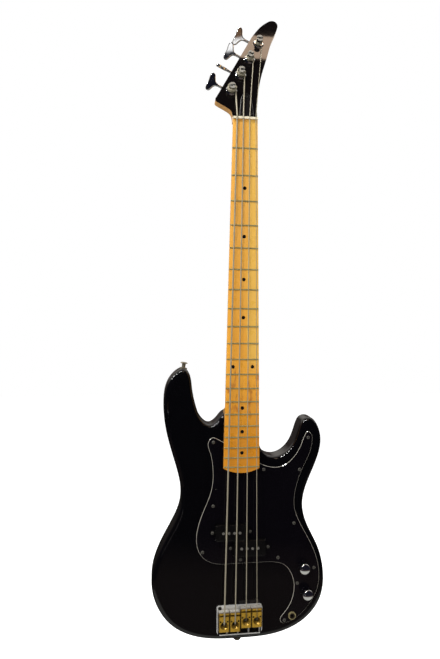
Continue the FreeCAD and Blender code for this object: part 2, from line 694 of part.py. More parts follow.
# Headstock outline as shares of its length: right edge and rounded tip, straight tuner edge, hooked wing.
HEAD_RIGHT_SHARES = ((0.110, -0.030), (0.107, 0.060), (0.109, 0.150), (0.127, 0.280), (0.163, 0.440),
                     (0.217, 0.620), (0.279, 0.820), (0.322, 0.925), (0.325, 0.965), (0.308, 0.991),
                     (0.276, 1.000), (0.231, 0.981), (0.158, 0.918), (0.082, 0.814))
HEAD_WING_SHARES = ((-0.254, 0.184), (-0.262, 0.168), (-0.259, 0.152), (-0.245, 0.139), (-0.204, 0.116),
                    (-0.160, 0.090), (-0.129, 0.065), (-0.114, 0.030), (-0.110, -0.030))
right_side = shares(HEAD_RIGHT_SHARES, S.head_length, S.head_length)
wing_side = shares(HEAD_WING_SHARES, S.head_length, S.head_length)
head_wire = Part.Wire([spline(right_side), Part.LineSegment(right_side[-1], wing_side[0]).toShape(),
                       spline(wing_side), Part.LineSegment(wing_side[-1], right_side[0]).toShape()])
head_wood = slab("head_wood", head_wire, "head_thickness", HEAD_BACK)
head_wood.Placement = HEAD
face_blank = slab("head_face_blank", head_wire, "face_thickness", -S.face_thickness)
face_blank.Placement = HEAD
ledge = box("nut_ledge", "2 * nut_width", "nut_thickness + 2 * heel_round", "head_thickness",
            Vec(-S.nut_width, -2 * S.heel_round, UNDERSIDE))

rod_height = UNDERSIDE - S.rod_cover_depth
rod_top = S.nut_thickness + S.cover_gap + S.rod_nut_length
rod_low = Vec(0, rod_top - S.rod_length, rod_height)
rod_bore = cylinder("rod_bore", "rod_radius + screw_fit", "rod_length", rod_low, ALONG)
rod_slot_length = "rod_nut_length + 2 * cover_gap"
rod_slot = box("rod_slot", "rod_slot_width", rod_slot_length, "rod_nut_radius + rod_cover_depth + board_thickness",
               Vec(-S.rod_slot_width / 2, S.nut_thickness + S.cover_gap / 2, rod_height - S.rod_nut_radius))
rod = cylinder("rod_bar", "rod_radius", "rod_length - rod_nut_length", rod_low, ALONG)
rod_nut_low = Vec(0, rod_top - S.rod_nut_length, rod_height)
rod_nut = doc.addObject("Part::Prism", "rod_nut")
bind(rod_nut, Circumradius="rod_nut_radius", Height="rod_nut_length")
rod_nut.Polygon = 6
rod_nut.Placement = Place(rod_nut_low, Rot(FRONT, ALONG))
keep(group("truss_rod", [rod, rod_nut]), "truss_rod")

bush_holes = []
for name, place in zip(STRING_NAMES, IN_HEAD):
    sleeve_hole = cylinder("bush_hole_" + name, "bush_sleeve_radius", "bush_sleeve_length")
    sleeve_hole.Placement = place.multiply(Place(Vec(0, 0, -S.bush_sleeve_length), Rot()))
    post_hole = cylinder("post_hole_" + name, "post_radius + 10 * running_clearance", "head_thickness + overrun")
    post_hole.Placement = place.multiply(Place(Vec(0, 0, HEAD_BACK - S.overrun), Rot()))
    bush_holes += [sleeve_hole, post_hole]

# Tuners. Each is drawn about its post: X along the tuner line, Y out past the headstock edge.

KEY_TURNS = (-36.0, 54.0, -36.0, -36.0)
SHAFT = "worm_pitch_radius - tooth_half_height - tooth_root_clearance"
shaft_radius = S.worm_pitch_radius - S.tooth_half_height - S.tooth_root_clearance
gear_turns = [-turn / S.gear_teeth for turn in KEY_TURNS]

flange = cone("bush_flange", "bush_flange_radius", "bush_crown_radius", "bush_flange_height")
sleeve = cylinder("bush_sleeve", "bush_sleeve_radius", "bush_sleeve_length", ORIGIN, BACK)
bush_solid = fuse("bush_solid", [flange, sleeve])
bush_bore = cylinder("bush_bore", "post_radius + running_clearance",
                     "bush_flange_height + bush_sleeve_length + 2 * overrun",
                     Vec(0, 0, -S.bush_sleeve_length - S.overrun))
bush = cut("bush", bush_solid, [bush_bore])
keep(copies("tuner_bushings", bush, IN_HEAD), "tuner_bushings")

half_length = S.tuner_plate_length / 2 - S.tuner_screw_inset
half_width = S.tuner_plate_width / 2 - S.tuner_screw_inset
plate_screws = [Vec(x, y, 0) for x in (-half_length, half_length) for y in (-half_width, half_width)]
plate_blank = padded_plate("tuner_plate_blank", "tuner_plate_length", "tuner_plate_width",
                           "tuner_plate_thickness", plate_screws, "tuner_screw_radius + screw_fit")
past_screws = half_length + S.tuner_screw_inset / 2
plate_flat = round_edges("tuner_plate_flat", plate_blank, S.tuner_plate_corner,
                         lambda edge: upright(edge) and abs(edge.CenterOfMass.x) > past_screws)
plate_flat.Placement = Place(Vec(S.tuner_plate_shift, 0, PLATE_BACK), Rot())
ear_depth = PLATE_BACK - WORM_HEIGHT + shaft_radius + S.ear_margin
ears = []
for index, low in enumerate((-S.ear_span / 2 - S.ear_thickness, S.ear_span / 2)):
    corner = Vec(MESH_DISTANCE - S.ear_width / 2, low, PLATE_BACK - ear_depth)
    ear = given("ear_%d" % index, Part.makeBox(S.ear_width, S.ear_thickness, ear_depth, corner))
    ears.append(ear)
worm_bore = cylinder("worm_bore", SHAFT + " + running_clearance", "tuner_plate_width",
                     Vec(MESH_DISTANCE, -S.tuner_plate_width / 2, WORM_HEIGHT), ALONG)
plate_post_bore = cylinder("plate_post_bore", "post_radius + running_clearance",
                           "tuner_plate_thickness + 2 * overrun", Vec(0, 0, PLATE_BACK - S.overrun))
tuner_plate = cut("tuner_plate", fuse("tuner_plate_solid", [plate_flat] + ears), [worm_bore, plate_post_bore])
keep(copies("tuner_plates", tuner_plate, IN_HEAD), "tuner_plates")

tuner_screw = screw("tuner_screw", "tuner_screw_head", "tuner_screw_rise", "tuner_screw_radius",
                    "tuner_screw_length")
cover_screw = screw("cover_screw", "cover_screw_head", "cover_screw_rise", "cover_screw_radius",
                    "cover_screw_length")
FACE_BACK = Rot(SIDE, 180)
shift = Vec(S.tuner_plate_shift, 0, PLATE_BACK)
tuner_screw_places = [place.multiply(Place(spot + shift, FACE_BACK))
                      for place in IN_HEAD for spot in plate_screws]
COVER_SCREW_SHARES = ((-0.36, 0.1), (0.36, 0.1), (0.0, 0.84))
cover_spots = shares(COVER_SCREW_SHARES, S.cover_width, S.cover_length, S.cover_shift, S.cover_gap)
cover_top = FRONT * S.cover_thickness
cover_screw_places = [HEAD.multiply(Place(spot + cover_top, Rot())) for spot in cover_spots]
tuner_screws = copies("tuner_screw_set", tuner_screw, tuner_screw_places)
cover_screws = copies("cover_screw_set", cover_screw, cover_screw_places)
keep(group("headstock_screws", [tuner_screws, cover_screws]), "headstock_screws")
tuner_screw_hole = cylinder("tuner_screw_hole", "tuner_screw_radius + screw_fit",
                            "tuner_screw_length + screw_fit", ORIGIN, BACK)
cover_screw_hole = cylinder("cover_screw_hole", "cover_screw_radius + screw_fit",
                            "cover_screw_length + screw_fit", ORIGIN, BACK)
head_holes = [copies("tuner_screw_holes", tuner_screw_hole, tuner_screw_places),
              copies("cover_screw_holes", cover_screw_hole, cover_screw_places)]

# The truss rod cover is a bell, half of it given as shares of its width and length.
COVER_HALF_SHARES = ((0.5, 0.0), (0.45, 0.3), (0.4, 0.6), (0.33, 0.83), (0.17, 0.97), (0.0, 1.0))
cover_right = shares(COVER_HALF_SHARES, S.cover_width, S.cover_length, S.cover_shift, S.cover_gap)
cover_left = [Vec(2 * S.cover_shift - p.x, p.y, 0) for p in reversed(cover_right)]
cover_wire = Part.Wire([spline(cover_right + cover_left[1:]),
                        Part.LineSegment(cover_left[-1], cover_right[0]).toShape()])
cover_blank = slab("cover_blank", cover_wire, "cover_thickness")
doc.recompute()
cover_bevelled = doc.addObject("Part::Chamfer", "cover_bevelled")
cover_bevelled.Base = cover_blank
is_top = at_height(S.cover_thickness)
cover_bevelled.Edges = [(index, S.cover_bevel, S.cover_bevel)
                        for index, edge in enumerate(cover_blank.Shape.Edges, 1) if is_top(edge)]
cover_bevelled.Placement = HEAD
truss_cover = cut("truss_rod_cover", cover_bevelled, [head_holes[1]])
keep(truss_cover, "truss_rod_cover")
head_face = cut("headstock_face", face_blank, bush_holes + [ledge, rod_slot, head_holes[1]])
keep(head_face, "headstock_face")


def gear_wire(turn):
    """Straight trapezoid teeth, with a gap facing the worm before the turn."""
    tip = GEAR_RADIUS + S.tooth_half_height
    root = GEAR_RADIUS - S.tooth_half_height - S.tooth_root_clearance
    points = []
    for tooth in range(int(S.gear_teeth)):
        middle = 2 * math.pi * (tooth + 0.5) / S.gear_teeth + math.radians(turn)
        for radius, width, side in ((root, S.tooth_root_width, -1), (tip, S.tooth_tip_width, -1),
                                    (tip, S.tooth_tip_width, 1), (root, S.tooth_root_width, 1)):
            angle = middle + side * width / (2 * radius)
            points.append(Vec(radius * math.cos(angle), radius * math.sin(angle), 0))
    return Part.makePolygon(points + points[:1])


def worm_thread():
    """A right-hand thread round the Y axis, with a turn of it facing the gear at the post's middle."""
    length = S.worm_turns * S.worm_pitch
    helix = Part.makeHelix(S.worm_pitch, length, S.worm_pitch_radius)
    low = shaft_radius - S.tooth_root_clearance / 2
    high = S.worm_pitch_radius + S.tooth_half_height
    corners = [Vec(low, 0, -S.tooth_root_width / 2), Vec(high, 0, -S.tooth_tip_width / 2),
               Vec(high, 0, S.tooth_tip_width / 2), Vec(low, 0, S.tooth_root_width / 2)]
    thread = Part.Wire(helix).makePipeShell([Part.makePolygon(corners + corners[:1])], True, True)
    start = -(math.floor(S.worm_turns / 2) + 0.5) * S.worm_pitch
    thread.Placement = Place(Vec(0, start, 0), Rot(SIDE, -90))
    return thread


# The key's button: half its outline as shares of its length and of its width.
BUTTON_HALF_SHARES = ((0.085, 0.0), (0.11, 0.18), (0.24, 0.36), (0.41, 0.5), (0.485, 0.63), (0.5, 0.78),
                      (0.45, 0.92), (0.32, 0.995), (0.16, 0.985), (0.0, 0.96))
button_right = shares(BUTTON_HALF_SHARES, S.button_width, S.button_length)
button_left = [Vec(-p.x, p.y, 0) for p in reversed(button_right)]
button_wire = Part.Wire([spline(button_right + button_left[1:]),
                         Part.LineSegment(button_left[-1], button_right[0]).toShape()])
outer_ear = S.ear_span / 2 + S.ear_thickness
inner_end = -outer_ear - S.wall_play - S.key_collar_length
for index, name in enumerate(STRING_NAMES):
    shaft = cylinder("key_shaft_" + name, SHAFT, "ear_span / 2 + ear_thickness + wall_play + key_collar_length"
                     " + key_reach + button_round", Vec(0, inner_end, 0), ALONG)
    collars = [cylinder("key_collar_%s_%d" % (name, side), "key_collar_radius", "key_collar_length",
                        Vec(0, low, 0), ALONG)
               for side, low in enumerate((inner_end, outer_ear + S.wall_play))]
    button_blank = slab("button_blank_" + name, button_wire, "button_thickness", -S.button_thickness / 2)
    button = round_edges("button_" + name, button_blank, S.button_round,
                         lambda edge: not upright(edge) and edge.Length > S.button_thickness * 2)
    button.Placement = Place(Vec(0, S.key_reach, 0), Rot())
    key = fuse("tuner_key_" + name, [shaft, given("worm_thread_" + name, worm_thread()), button] + collars)
    key_place = Place(Vec(MESH_DISTANCE, 0, WORM_HEIGHT), Rot(ALONG, KEY_TURNS[index]))
    keep(key, "tuner_key_" + name, STAND.multiply(IN_HEAD[index]).multiply(key_place))

    gear_blank = slab("gear_blank_" + name, gear_wire(gear_turns[index]), "gear_thickness",
                      GEAR_FRONT - S.gear_thickness)
    gear_bore = cylinder("gear_bore_" + name, "post_stub_radius", "gear_thickness + 2 * overrun",
                         Vec(0, 0, GEAR_FRONT - S.gear_thickness - S.overrun))
    gear_ring = cut("gear_ring_" + name, gear_blank, [gear_bore])
    gear_back = Vec(0, 0, GEAR_FRONT - S.gear_thickness)
    gear_head = cylinder("gear_screw_head_" + name, "gear_screw_radius", "gear_screw_height", gear_back, BACK)
    gear_shank = cylinder("gear_screw_shank_" + name, "gear_screw_shank", "gear_screw_bite", gear_back)
    slot_deep = S.gear_screw_height / 2
    slot_bar = Part.makeBox(2 * S.gear_screw_radius, S.screw_drive_width, slot_deep + S.overrun,
                            gear_back - Vec(S.gear_screw_radius, S.screw_drive_width / 2,
                                            S.gear_screw_height + S.overrun))
    gear_screw = cut("gear_screw_" + name, fuse("gear_screw_blank_" + name, [gear_head, gear_shank]),
                     [given("gear_screw_slot_" + name, slot_bar)])
    keep(group("tuner_gear_" + name, [gear_ring, gear_screw]), "tuner_gear_" + name,
         STAND.multiply(IN_HEAD[index]))

# Strings. Each is one run: ball end under its saddle, up through the bowl, over the fretboard and the nut,
# and round its post. The tuner posts follow, because each slot faces the end of its winding.

BRIDGE_LINE = -S.scale_length
bowls = []
for index in range(len(STRING_NAMES)):
    across = (index - (len(STRING_NAMES) - 1) / 2) * S.string_pitch_bridge
    ahead = S.saddle_stagger if index >= len(STRING_NAMES) / 2 else 0.0
    bowls.append(Vec(across, BRIDGE_LINE + ahead, 0))
BALL_HEIGHT = S.bridge_thickness + S.saddle_lift + S.ball_room_height - S.wall_play - S.ball_radius
QUARTERS_PER_TURN = 4
WINDING_LEAD_SHARE = 0.5


def winding(index, nut_corner):
    """The run from the nut to the post and its turns round the post, with the angle where they end."""
    diameter = STRING_DIAMETERS[index]
    radius = S.post_radius + S.string_clearance + diameter / 2
    pitch = diameter + S.winding_gap
    low = S.bush_flange_height + S.wall_play + diameter / 2
    middle = TUNERS[index].Base
    start = HEAD.inverse().multVec(nut_corner)
    flat = Vec(middle.x - start.x, middle.y - start.y, 0)
    heading = math.atan2(flat.y, flat.x) - math.asin(radius / flat.Length)
    first = heading - math.pi / 2

    def turn_point(angle):
        rise = low + pitch * (angle - first) / (2 * math.pi)
        return HEAD.multVec(middle + Vec(radius * math.cos(angle), radius * math.sin(angle), rise))

    def turn_heading(angle):
        slope = Vec(-radius * math.sin(angle), radius * math.cos(angle), pitch / (2 * math.pi))
        return HEAD.Rotation.multVec(slope.normalize())

    touch = turn_point(first)
    run = (touch - nut_corner).normalize()
    leave = touch - run * (radius * WINDING_LEAD_SHARE)
    quarter = 2 * math.pi / QUARTERS_PER_TURN
    marks = [first + quarter * WINDING_LEAD_SHARE]
    marks += [first + quarter * step for step in range(1, int(QUARTERS_PER_TURN * S.winding_turns) + 1)]
    curves = biarc(leave, run, turn_point(marks[0]), turn_heading(marks[0]))
    for before, after in zip(marks, marks[1:]):
        curves += biarc(turn_point(before), turn_heading(before), turn_point(after), turn_heading(after))
    lead_in = Part.LineSegment(nut_corner, leave)
    gap = own_gap([lead_in] + curves, math.pi * radius) - diameter
    print("string_%s: least gap between its turns %.2f" % (STRING_NAMES[index], gap))
    return leave, curves, marks[-1]


nut_slots = []
slot_angles = []
for index, name in enumerate(STRING_NAMES):
    diameter = STRING_DIAMETERS[index]
    bowl = bowls[index]
    at_nut = (index - (len(STRING_NAMES) - 1) / 2) * S.string_pitch_nut + S.string_shift_nut
    nut_corner = Vec(at_nut, S.nut_thickness, S.board_height + S.string_height_nut + diameter / 2)
    over_bowl = Vec(bowl.x, bowl.y, S.string_height_saddle + diameter / 2)
    ball = Vec(bowl.x, bowl.y, BALL_HEIGHT)
    back_run = (nut_corner - over_bowl).normalize()
    half_turn = (math.pi - back_run.getAngle(ball - over_bowl)) / 2
    drop_reach = S.string_drop_radius * math.tan(half_turn)
    up, drop, along = smooth_corner(ball, over_bowl, nut_corner, drop_reach)
    leave, turns, end_angle = winding(index, nut_corner)
    enter, bend, depart = smooth_corner(over_bowl, nut_corner, leave, S.nut_thickness / 2)
    route = [Part.LineSegment(ball, up), drop, Part.LineSegment(along, enter), bend,
             Part.LineSegment(depart, leave)] + turns
    length = S.ball_length
    ball_end = Part.makeCylinder(S.ball_radius, length, ball - SIDE * (length / 2), SIDE)
    string = tube("string_" + name, route, diameter / 2).fuse(ball_end)
    keep(given("string_" + name, string), "string_" + name)
    slot_angles.append(math.degrees(end_angle) - (90 - S.tuner_lean))
    cuts = []
    for near, far in ((enter - back_run * (2 * S.nut_thickness), nut_corner), (nut_corner, leave)):
        run = far - near
        cuts.append(Part.makeCylinder(diameter / 2 + S.screw_fit, run.Length, near, run))
    cuts.append(Part.makeBox(diameter + 2 * S.screw_fit, 3 * S.nut_thickness, S.nut_rise,
                             nut_corner - Vec(diameter / 2 + S.screw_fit, 2 * S.nut_thickness, 0)))
    nut_slots.append(given("nut_slot_" + name, cuts[0].fuse(cuts[1:])))

nut_block = padded_plate("nut_block", "nut_width", "nut_thickness", "board_thickness + nut_rise")
nut_block.Placement = Place(Vec(0, S.nut_thickness / 2, UNDERSIDE), Rot())
keep(cut("nut", nut_block, nut_slots), "nut")

TAIL_BEND_SHARE = 0.45
slot_floor = S.post_rise - S.post_slot_depth
for index, name in enumerate(STRING_NAMES):
    turned = Rot(FRONT, slot_angles[index])
    column_low = Vec(0, 0, GEAR_FRONT)
    column_height = ("post_rise - post_cap_height + face_thickness + head_thickness"
                     " + tuner_plate_thickness + gear_gap")
    column = cylinder("post_column_" + name, "post_radius", column_height, column_low)
    cap_low = Vec(0, 0, S.post_rise - S.post_cap_height)
    cap_taper = cone("post_taper_" + name, "post_radius", "post_cap_radius", "post_cap_height / 2", cap_low)
    cap_top = cylinder("post_cap_" + name, "post_cap_radius", "post_cap_height / 2",
                       Vec(0, 0, S.post_rise - S.post_cap_height / 2))
    stub = cylinder("post_stub_" + name, "post_stub_radius", "gear_thickness", column_low, BACK)
    solid = fuse("post_solid_" + name, [column, cap_taper, cap_top, stub])
    slot = box("post_slot_" + name, "4 * post_radius", "post_slot_width", "post_slot_depth + overrun")
    slot.Placement = Place(turned.multVec(Vec(-2 * S.post_radius, -S.post_slot_width / 2, slot_floor)), turned)
    hole = cylinder("post_well_" + name, "post_hole_radius", "post_hole_depth + overrun",
                    Vec(0, 0, S.post_rise - S.post_hole_depth))
    tap = cylinder("post_tap_" + name, "gear_screw_shank", "gear_screw_bite + overrun",
                   Vec(0, 0, GEAR_FRONT - S.gear_thickness - S.overrun))
    post = cut("post_" + name, solid, [slot, hole, tap])
    radius = STRING_DIAMETERS[index] / 2
    tail_height = slot_floor + radius + S.running_clearance
    tail_end = turned.multVec(Vec(S.post_radius - S.running_clearance, 0, 0)) + FRONT * tail_height
    tail_start = FRONT * (S.post_rise - S.post_hole_depth + S.running_clearance)
    tail_route = bent_route([tail_start, FRONT * tail_height, tail_end], TAIL_BEND_SHARE)
    tail = given("string_tail_" + name, tube("string tail " + name, tail_route, radius))
    place = STAND.multiply(IN_HEAD[index]).multiply(Place(ORIGIN, Rot(FRONT, gear_turns[index])))
    keep(group("tuner_post_" + name, [post, tail]), "tuner_post_" + name, place)

# Body.

# The body's outline as shares of its width, from the middle line, and of its length, from the tail end.
# It runs from the neck's thick-string side round the bass horn, the tail and the treble horn.
BODY_SHARES = (
    (0.3971, 0.573), (0.4459, 0.649), (0.471, 0.7369), (0.4415, 0.7906), (0.421, 0.8048),
    (0.3914, 0.809), (0.3633, 0.8016), (0.3464, 0.7837), (0.3189, 0.732), (0.2801, 0.6929),
    (0.2081, 0.668), (0.143, 0.678), (0.114, 0.7029), (0.101, 0.749), (0.0779, 0.799), (0.016, 0.828),
    (-0.0459, 0.8361), (-0.098, 0.829), (-0.13, 0.8071), (-0.1759, 0.788), (-0.2251, 0.811),
    (-0.257, 0.8589), (-0.2769, 0.9149), (-0.2887, 0.9632), (-0.3099, 0.9855), (-0.3449, 0.9886),
    (-0.3572, 0.9846), (-0.3826, 0.9714), (-0.417, 0.939), (-0.4358, 0.8792), (-0.4231, 0.7741),
    (-0.3811, 0.6741), (-0.342, 0.579), (-0.3391, 0.5), (-0.3909, 0.417), (-0.459, 0.332),
    (-0.498, 0.234), (-0.472, 0.1429), (-0.384, 0.062), (-0.228, 0.0124), (0.0, 0.0), (0.2349, 0.0114),
    (0.4068, 0.066), (0.485, 0.139), (0.5, 0.2199), (0.459, 0.332), (0.3909, 0.421), (0.3681, 0.4961))
body_wire = outline(shares(BODY_SHARES, S.body_width, S.body_length, 0.0, TAIL))
body_blank = slab("body_blank", body_wire, "body_thickness", BODY_BACK)
body_round = round_edges("body_round", body_blank, S.edge_radius,
                         lambda edge: at_height(0.0)(edge) or at_height(BODY_BACK)(edge))
pocket = slab("neck_pocket", board_wire(HEEL_START, S.pocket_clearance), "pocket_depth + overrun",
              -S.pocket_depth)
POCKET_SIDE_SHARE = 0.711
pocket_side_length = "heel_lead + body_length * %.4f" % (NECK_EDGE_SHARE - POCKET_SIDE_SHARE)
pocket_side = box("pocket_side", "heel_width", pocket_side_length,
                  "pocket_depth + overrun", Vec(0, TAIL + POCKET_SIDE_SHARE * S.body_length, -S.pocket_depth))

neck_screw = screw("neck_screw", "neck_screw_head", "neck_screw_rise", "neck_screw_radius", "neck_screw_length")
plate_middle = Vec(-S.neck_plate_left, S.neck_plate_ahead - S.board_length, BODY_BACK - S.neck_plate_thickness)
half_wide = S.neck_plate_width / 2 - S.neck_screw_inset
half_tall = S.neck_plate_length / 2 - S.neck_screw_inset
neck_spots = [Vec(x, y, 0) for x in (-half_wide, half_wide) for y in (-half_tall, half_tall)]
neck_screw_places = [Place(plate_middle + spot, FACE_BACK) for spot in neck_spots]
keep(copies("neck_screws", neck_screw, neck_screw_places), "neck_screws")
neck_screw_hole = cylinder("neck_screw_hole", "neck_screw_radius + screw_fit", "neck_screw_length + screw_fit",
                           ORIGIN, BACK)
neck_holes = copies("neck_screw_holes", neck_screw_hole, neck_screw_places)
neck_plate_blank = padded_plate("neck_plate_blank", "neck_plate_width", "neck_plate_length",
                                "neck_plate_thickness", neck_spots, "neck_screw_radius + screw_fit")
past_neck_screws = half_wide + S.neck_screw_inset / 2
neck_plate = round_edges("neck_plate", neck_plate_blank, S.neck_plate_corner,
                         lambda edge: upright(edge) and abs(edge.CenterOfMass.x) > past_neck_screws)
keep(neck_plate, "neck_plate", STAND.multiply(Place(plate_middle, Rot())))

neck_blank = fuse("neck_blank", [neck_back, heel, head_wood])
neck_cuts = bush_holes + head_holes + [ledge, rod_bore, rod_slot, neck_holes]
keep(cut("neck", neck_blank, neck_cuts), "neck")

# Pickguard, its outline as shares of the body's width and of its length from the tail end.
GUARD_SHARES = (
    (0.085, 0.284), (0.2, 0.2825), (0.259, 0.2695), (0.296, 0.2405), (0.315, 0.203), (0.312, 0.16),
    (0.284, 0.114), (0.251, 0.087), (0.236, 0.07), (0.245, 0.057), (0.3, 0.06), (0.366, 0.088),
    (0.421, 0.129), (0.456, 0.176), (0.466, 0.232), (0.457, 0.275), (0.427, 0.33), (0.386, 0.381),
    (0.34, 0.435), (0.316, 0.478), (0.313, 0.521), (0.331, 0.577), (0.358, 0.625), (0.399, 0.681),
    (0.414, 0.723), (0.408, 0.751), (0.386, 0.762), (0.368, 0.748), (0.339, 0.703), (0.289, 0.658),
    (0.228, 0.635), (0.167, 0.635), (0.11, 0.648), (0.0, 0.69), (-0.13, 0.738), (-0.165, 0.745),
    (-0.186, 0.731), (-0.177, 0.69), (-0.161, 0.634), (-0.16, 0.586), (-0.181, 0.528), (-0.218, 0.47),
    (-0.244, 0.416), (-0.2495, 0.366), (-0.232, 0.328), (-0.194, 0.301), (-0.134, 0.286),
    (-0.047, 0.284))
guard_wire = outline(shares(GUARD_SHARES, S.body_width, S.body_length, 0.0, TAIL))
guard_blank = slab("guard_blank", guard_wire, "guard_thickness")
doc.recompute()
guard_bevelled = doc.addObject("Part::Chamfer", "guard_bevelled")
guard_bevelled.Base = guard_blank
is_guard_top = at_height(S.guard_thickness)
guard_bevelled.Edges = [(index, S.guard_bevel, S.guard_bevel)
                        for index, edge in enumerate(guard_blank.Shape.Edges, 1) if is_guard_top(edge)]
GUARD_SCREW_SHARES = (
    (-0.158, 0.728), (-0.156, 0.498), (-0.214, 0.332), (0.003, 0.299), (0.220, 0.300), (0.388, 0.739),
    (0.340, 0.622), (0.311, 0.425), (0.131, 0.626), (0.336, 0.201), (0.433, 0.256), (0.262, 0.066))
guard_screw = screw("guard_screw", "guard_screw_head", "guard_screw_rise", "guard_screw_radius",
                    "guard_screw_length")
guard_top = FRONT * S.guard_thickness
guard_spots = shares(GUARD_SCREW_SHARES, S.body_width, S.body_length, 0.0, TAIL)
guard_screw_places = [Place(spot + guard_top, Rot()) for spot in guard_spots]
keep(copies("pickguard_screws", guard_screw, guard_screw_places), "pickguard_screws")
guard_screw_hole = cylinder("guard_screw_hole", "guard_screw_radius + screw_fit", "guard_screw_length + screw_fit",
                            ORIGIN, BACK)
guard_holes = copies("guard_screw_holes", guard_screw_hole, guard_screw_places)
SPARE_HOLE_SHARE = (-0.142, 0.560)
spare_spot = shares((SPARE_HOLE_SHARE,), S.body_width, S.body_length, 0.0, TAIL)[0]
spare_hole = cylinder("guard_spare_hole", "guard_hole_radius", "guard_thickness + 2 * overrun",
                      spare_spot - FRONT * S.overrun)
neck_notch = slab("guard_notch", board_wire(HEEL_START, S.guard_clearance), "guard_thickness + 2 * overrun",
                  -S.overrun)

# Pickup: two halves, one under each pair of strings.

half_step = S.pickup_width / 2 + S.guard_clearance / 2
pickup_middles = [Vec(-S.pickup_offset, -S.pickup_place + half_step, 0),
                  Vec(S.pickup_offset, -S.pickup_place - half_step, 0)]
pickup_screw = screw("pickup_screw", "pickup_screw_head", "pickup_screw_rise", "pickup_screw_radius",
                     "pickup_screw_length")
pickup_screw_places = []
covers = []
poles = []
formers = []
cavity_tools = []
guard_windows = []
POLES_PER_HALF = 4
for side, middle in enumerate(pickup_middles):
    left_low = middle - Vec(S.pickup_length / 2, S.pickup_width / 2, 0)
    shell = box("cover_shell_%d" % side, "pickup_length", "pickup_width", "pickup_rise + pickup_drop",
                left_low - FRONT * S.pickup_drop)
    shell_round = round_edges("cover_round_%d" % side, shell, S.pickup_corner, upright)
    shell_soft = round_edges("cover_soft_%d" % side, shell_round, S.pickup_edge, at_height(S.pickup_rise))
    inset = Vec(S.pickup_wall, S.pickup_wall, -S.overrun)
    hollow = box("cover_hollow_%d" % side, "pickup_length - 2 * pickup_wall", "pickup_width - 2 * pickup_wall",
                 "pickup_rise + pickup_drop - pickup_wall + overrun", left_low - FRONT * S.pickup_drop + inset)
    hollow_round = round_edges("cover_hollow_round_%d" % side, hollow, S.pickup_corner - S.pickup_wall, upright)
    ear_pieces = []
    ear_height = S.guard_thickness
    for end in (-1, 1):
        spot = middle + SIDE * (end * S.pickup_ear_reach) + FRONT * ear_height
        ear_round = cylinder("ear_round_%d_%d" % (side, end + 1), "pickup_ear_radius", "pickup_ear_thickness",
                             spot)
        reach = S.pickup_ear_reach - S.pickup_length / 2 + S.pickup_wall / 2
        near = spot.x if end < 0 else spot.x - reach
        tab = Part.makeBox(reach, 2 * S.pickup_ear_radius, S.pickup_ear_thickness,
                           Vec(near, spot.y - S.pickup_ear_radius, ear_height))
        ear_pieces += [ear_round, given("ear_tab_%d_%d" % (side, end + 1), tab)]
        pickup_screw_places.append(Place(spot + FRONT * S.pickup_ear_thickness, Rot()))
    holes = []
    for number in range(POLES_PER_HALF):
        across = (number - (POLES_PER_HALF - 1) / 2) * S.pole_pitch
        spot = middle + SIDE * across - FRONT * S.pickup_drop
        poles.append(cylinder("pole_%d_%d" % (side, number), "pole_radius",
                              "pickup_rise + pickup_drop + pole_proud", spot))
        holes.append(cylinder("pole_hole_%d_%d" % (side, number), "pole_radius + screw_fit",
                              "pickup_rise + pickup_drop + pole_proud + overrun", spot))
    cover_solid = fuse("cover_solid_%d" % side, [shell_soft] + ear_pieces)
    cover = cut("cover_%d" % side, cover_solid, [hollow_round] + holes)
    covers.append(cover)
    coil_low = -S.pickup_drop + S.bobbin_plate
    coil_height = S.pickup_rise - S.pickup_wall - S.bobbin_plate - coil_low - S.wall_play
    core_length = (POLES_PER_HALF - 1) * S.pole_pitch

    def oval(radius, height, low):
        """A racetrack block round the row of poles."""
        ends = [Part.makeCylinder(radius, height, middle + Vec(end * core_length / 2, 0, low)) for end in (-1, 1)]
        bar = Part.makeBox(core_length, 2 * radius, height, middle + Vec(-core_length / 2, -radius, low))
        return ends[0].fuse([ends[1], bar]).removeSplitter()

    core_radius = S.pole_radius + S.bobbin_plate / 2
    wide_radius = core_radius + S.coil_thickness
    plates = [oval(wide_radius, S.bobbin_plate, -S.pickup_drop), oval(core_radius, coil_height, coil_low),
              oval(wide_radius, S.bobbin_plate, coil_low + coil_height)]
    doc.recompute()
    bores = [hole.Shape for hole in holes]
    former = plates[0].fuse(plates[1:]).cut(bores)
    coil = oval(wide_radius, coil_height, coil_low).cut(oval(core_radius, coil_height, coil_low))
    formers += [given("former_%d" % side, former), given("coil_%d" % side, coil)]
    cavity_tools.append(box("pickup_cavity_%d" % side, "pickup_length + 2 * cavity_margin",
                            "pickup_width + 2 * cavity_margin", "cavity_depth + overrun",
                            left_low - Vec(S.cavity_margin, S.cavity_margin, S.cavity_depth)))
    window = box("guard_window_%d" % side, "pickup_length + 2 * guard_clearance",
                 "pickup_width + 2 * guard_clearance", "guard_thickness + 2 * overrun",
                 left_low - Vec(S.guard_clearance, S.guard_clearance, S.overrun))
    guard_windows.append(window)
pickup_hole = cylinder("pickup_screw_hole", "pickup_screw_radius + screw_fit", "pickup_screw_length + screw_fit",
                       ORIGIN, BACK)
pickup_holes = copies("pickup_screw_holes", pickup_hole, pickup_screw_places)
cover_pair = group("pickup_cover_pair", covers)
keep(cut("pickup_covers", cover_pair, [pickup_holes]), "pickup_covers")
keep(copies("pickup_screws", pickup_screw, pickup_screw_places), "pickup_screws")
keep(group("pole_pieces", poles), "pole_pieces")
keep(group("pickup_coils", formers), "pickup_coils")

# Controls under the pickguard.

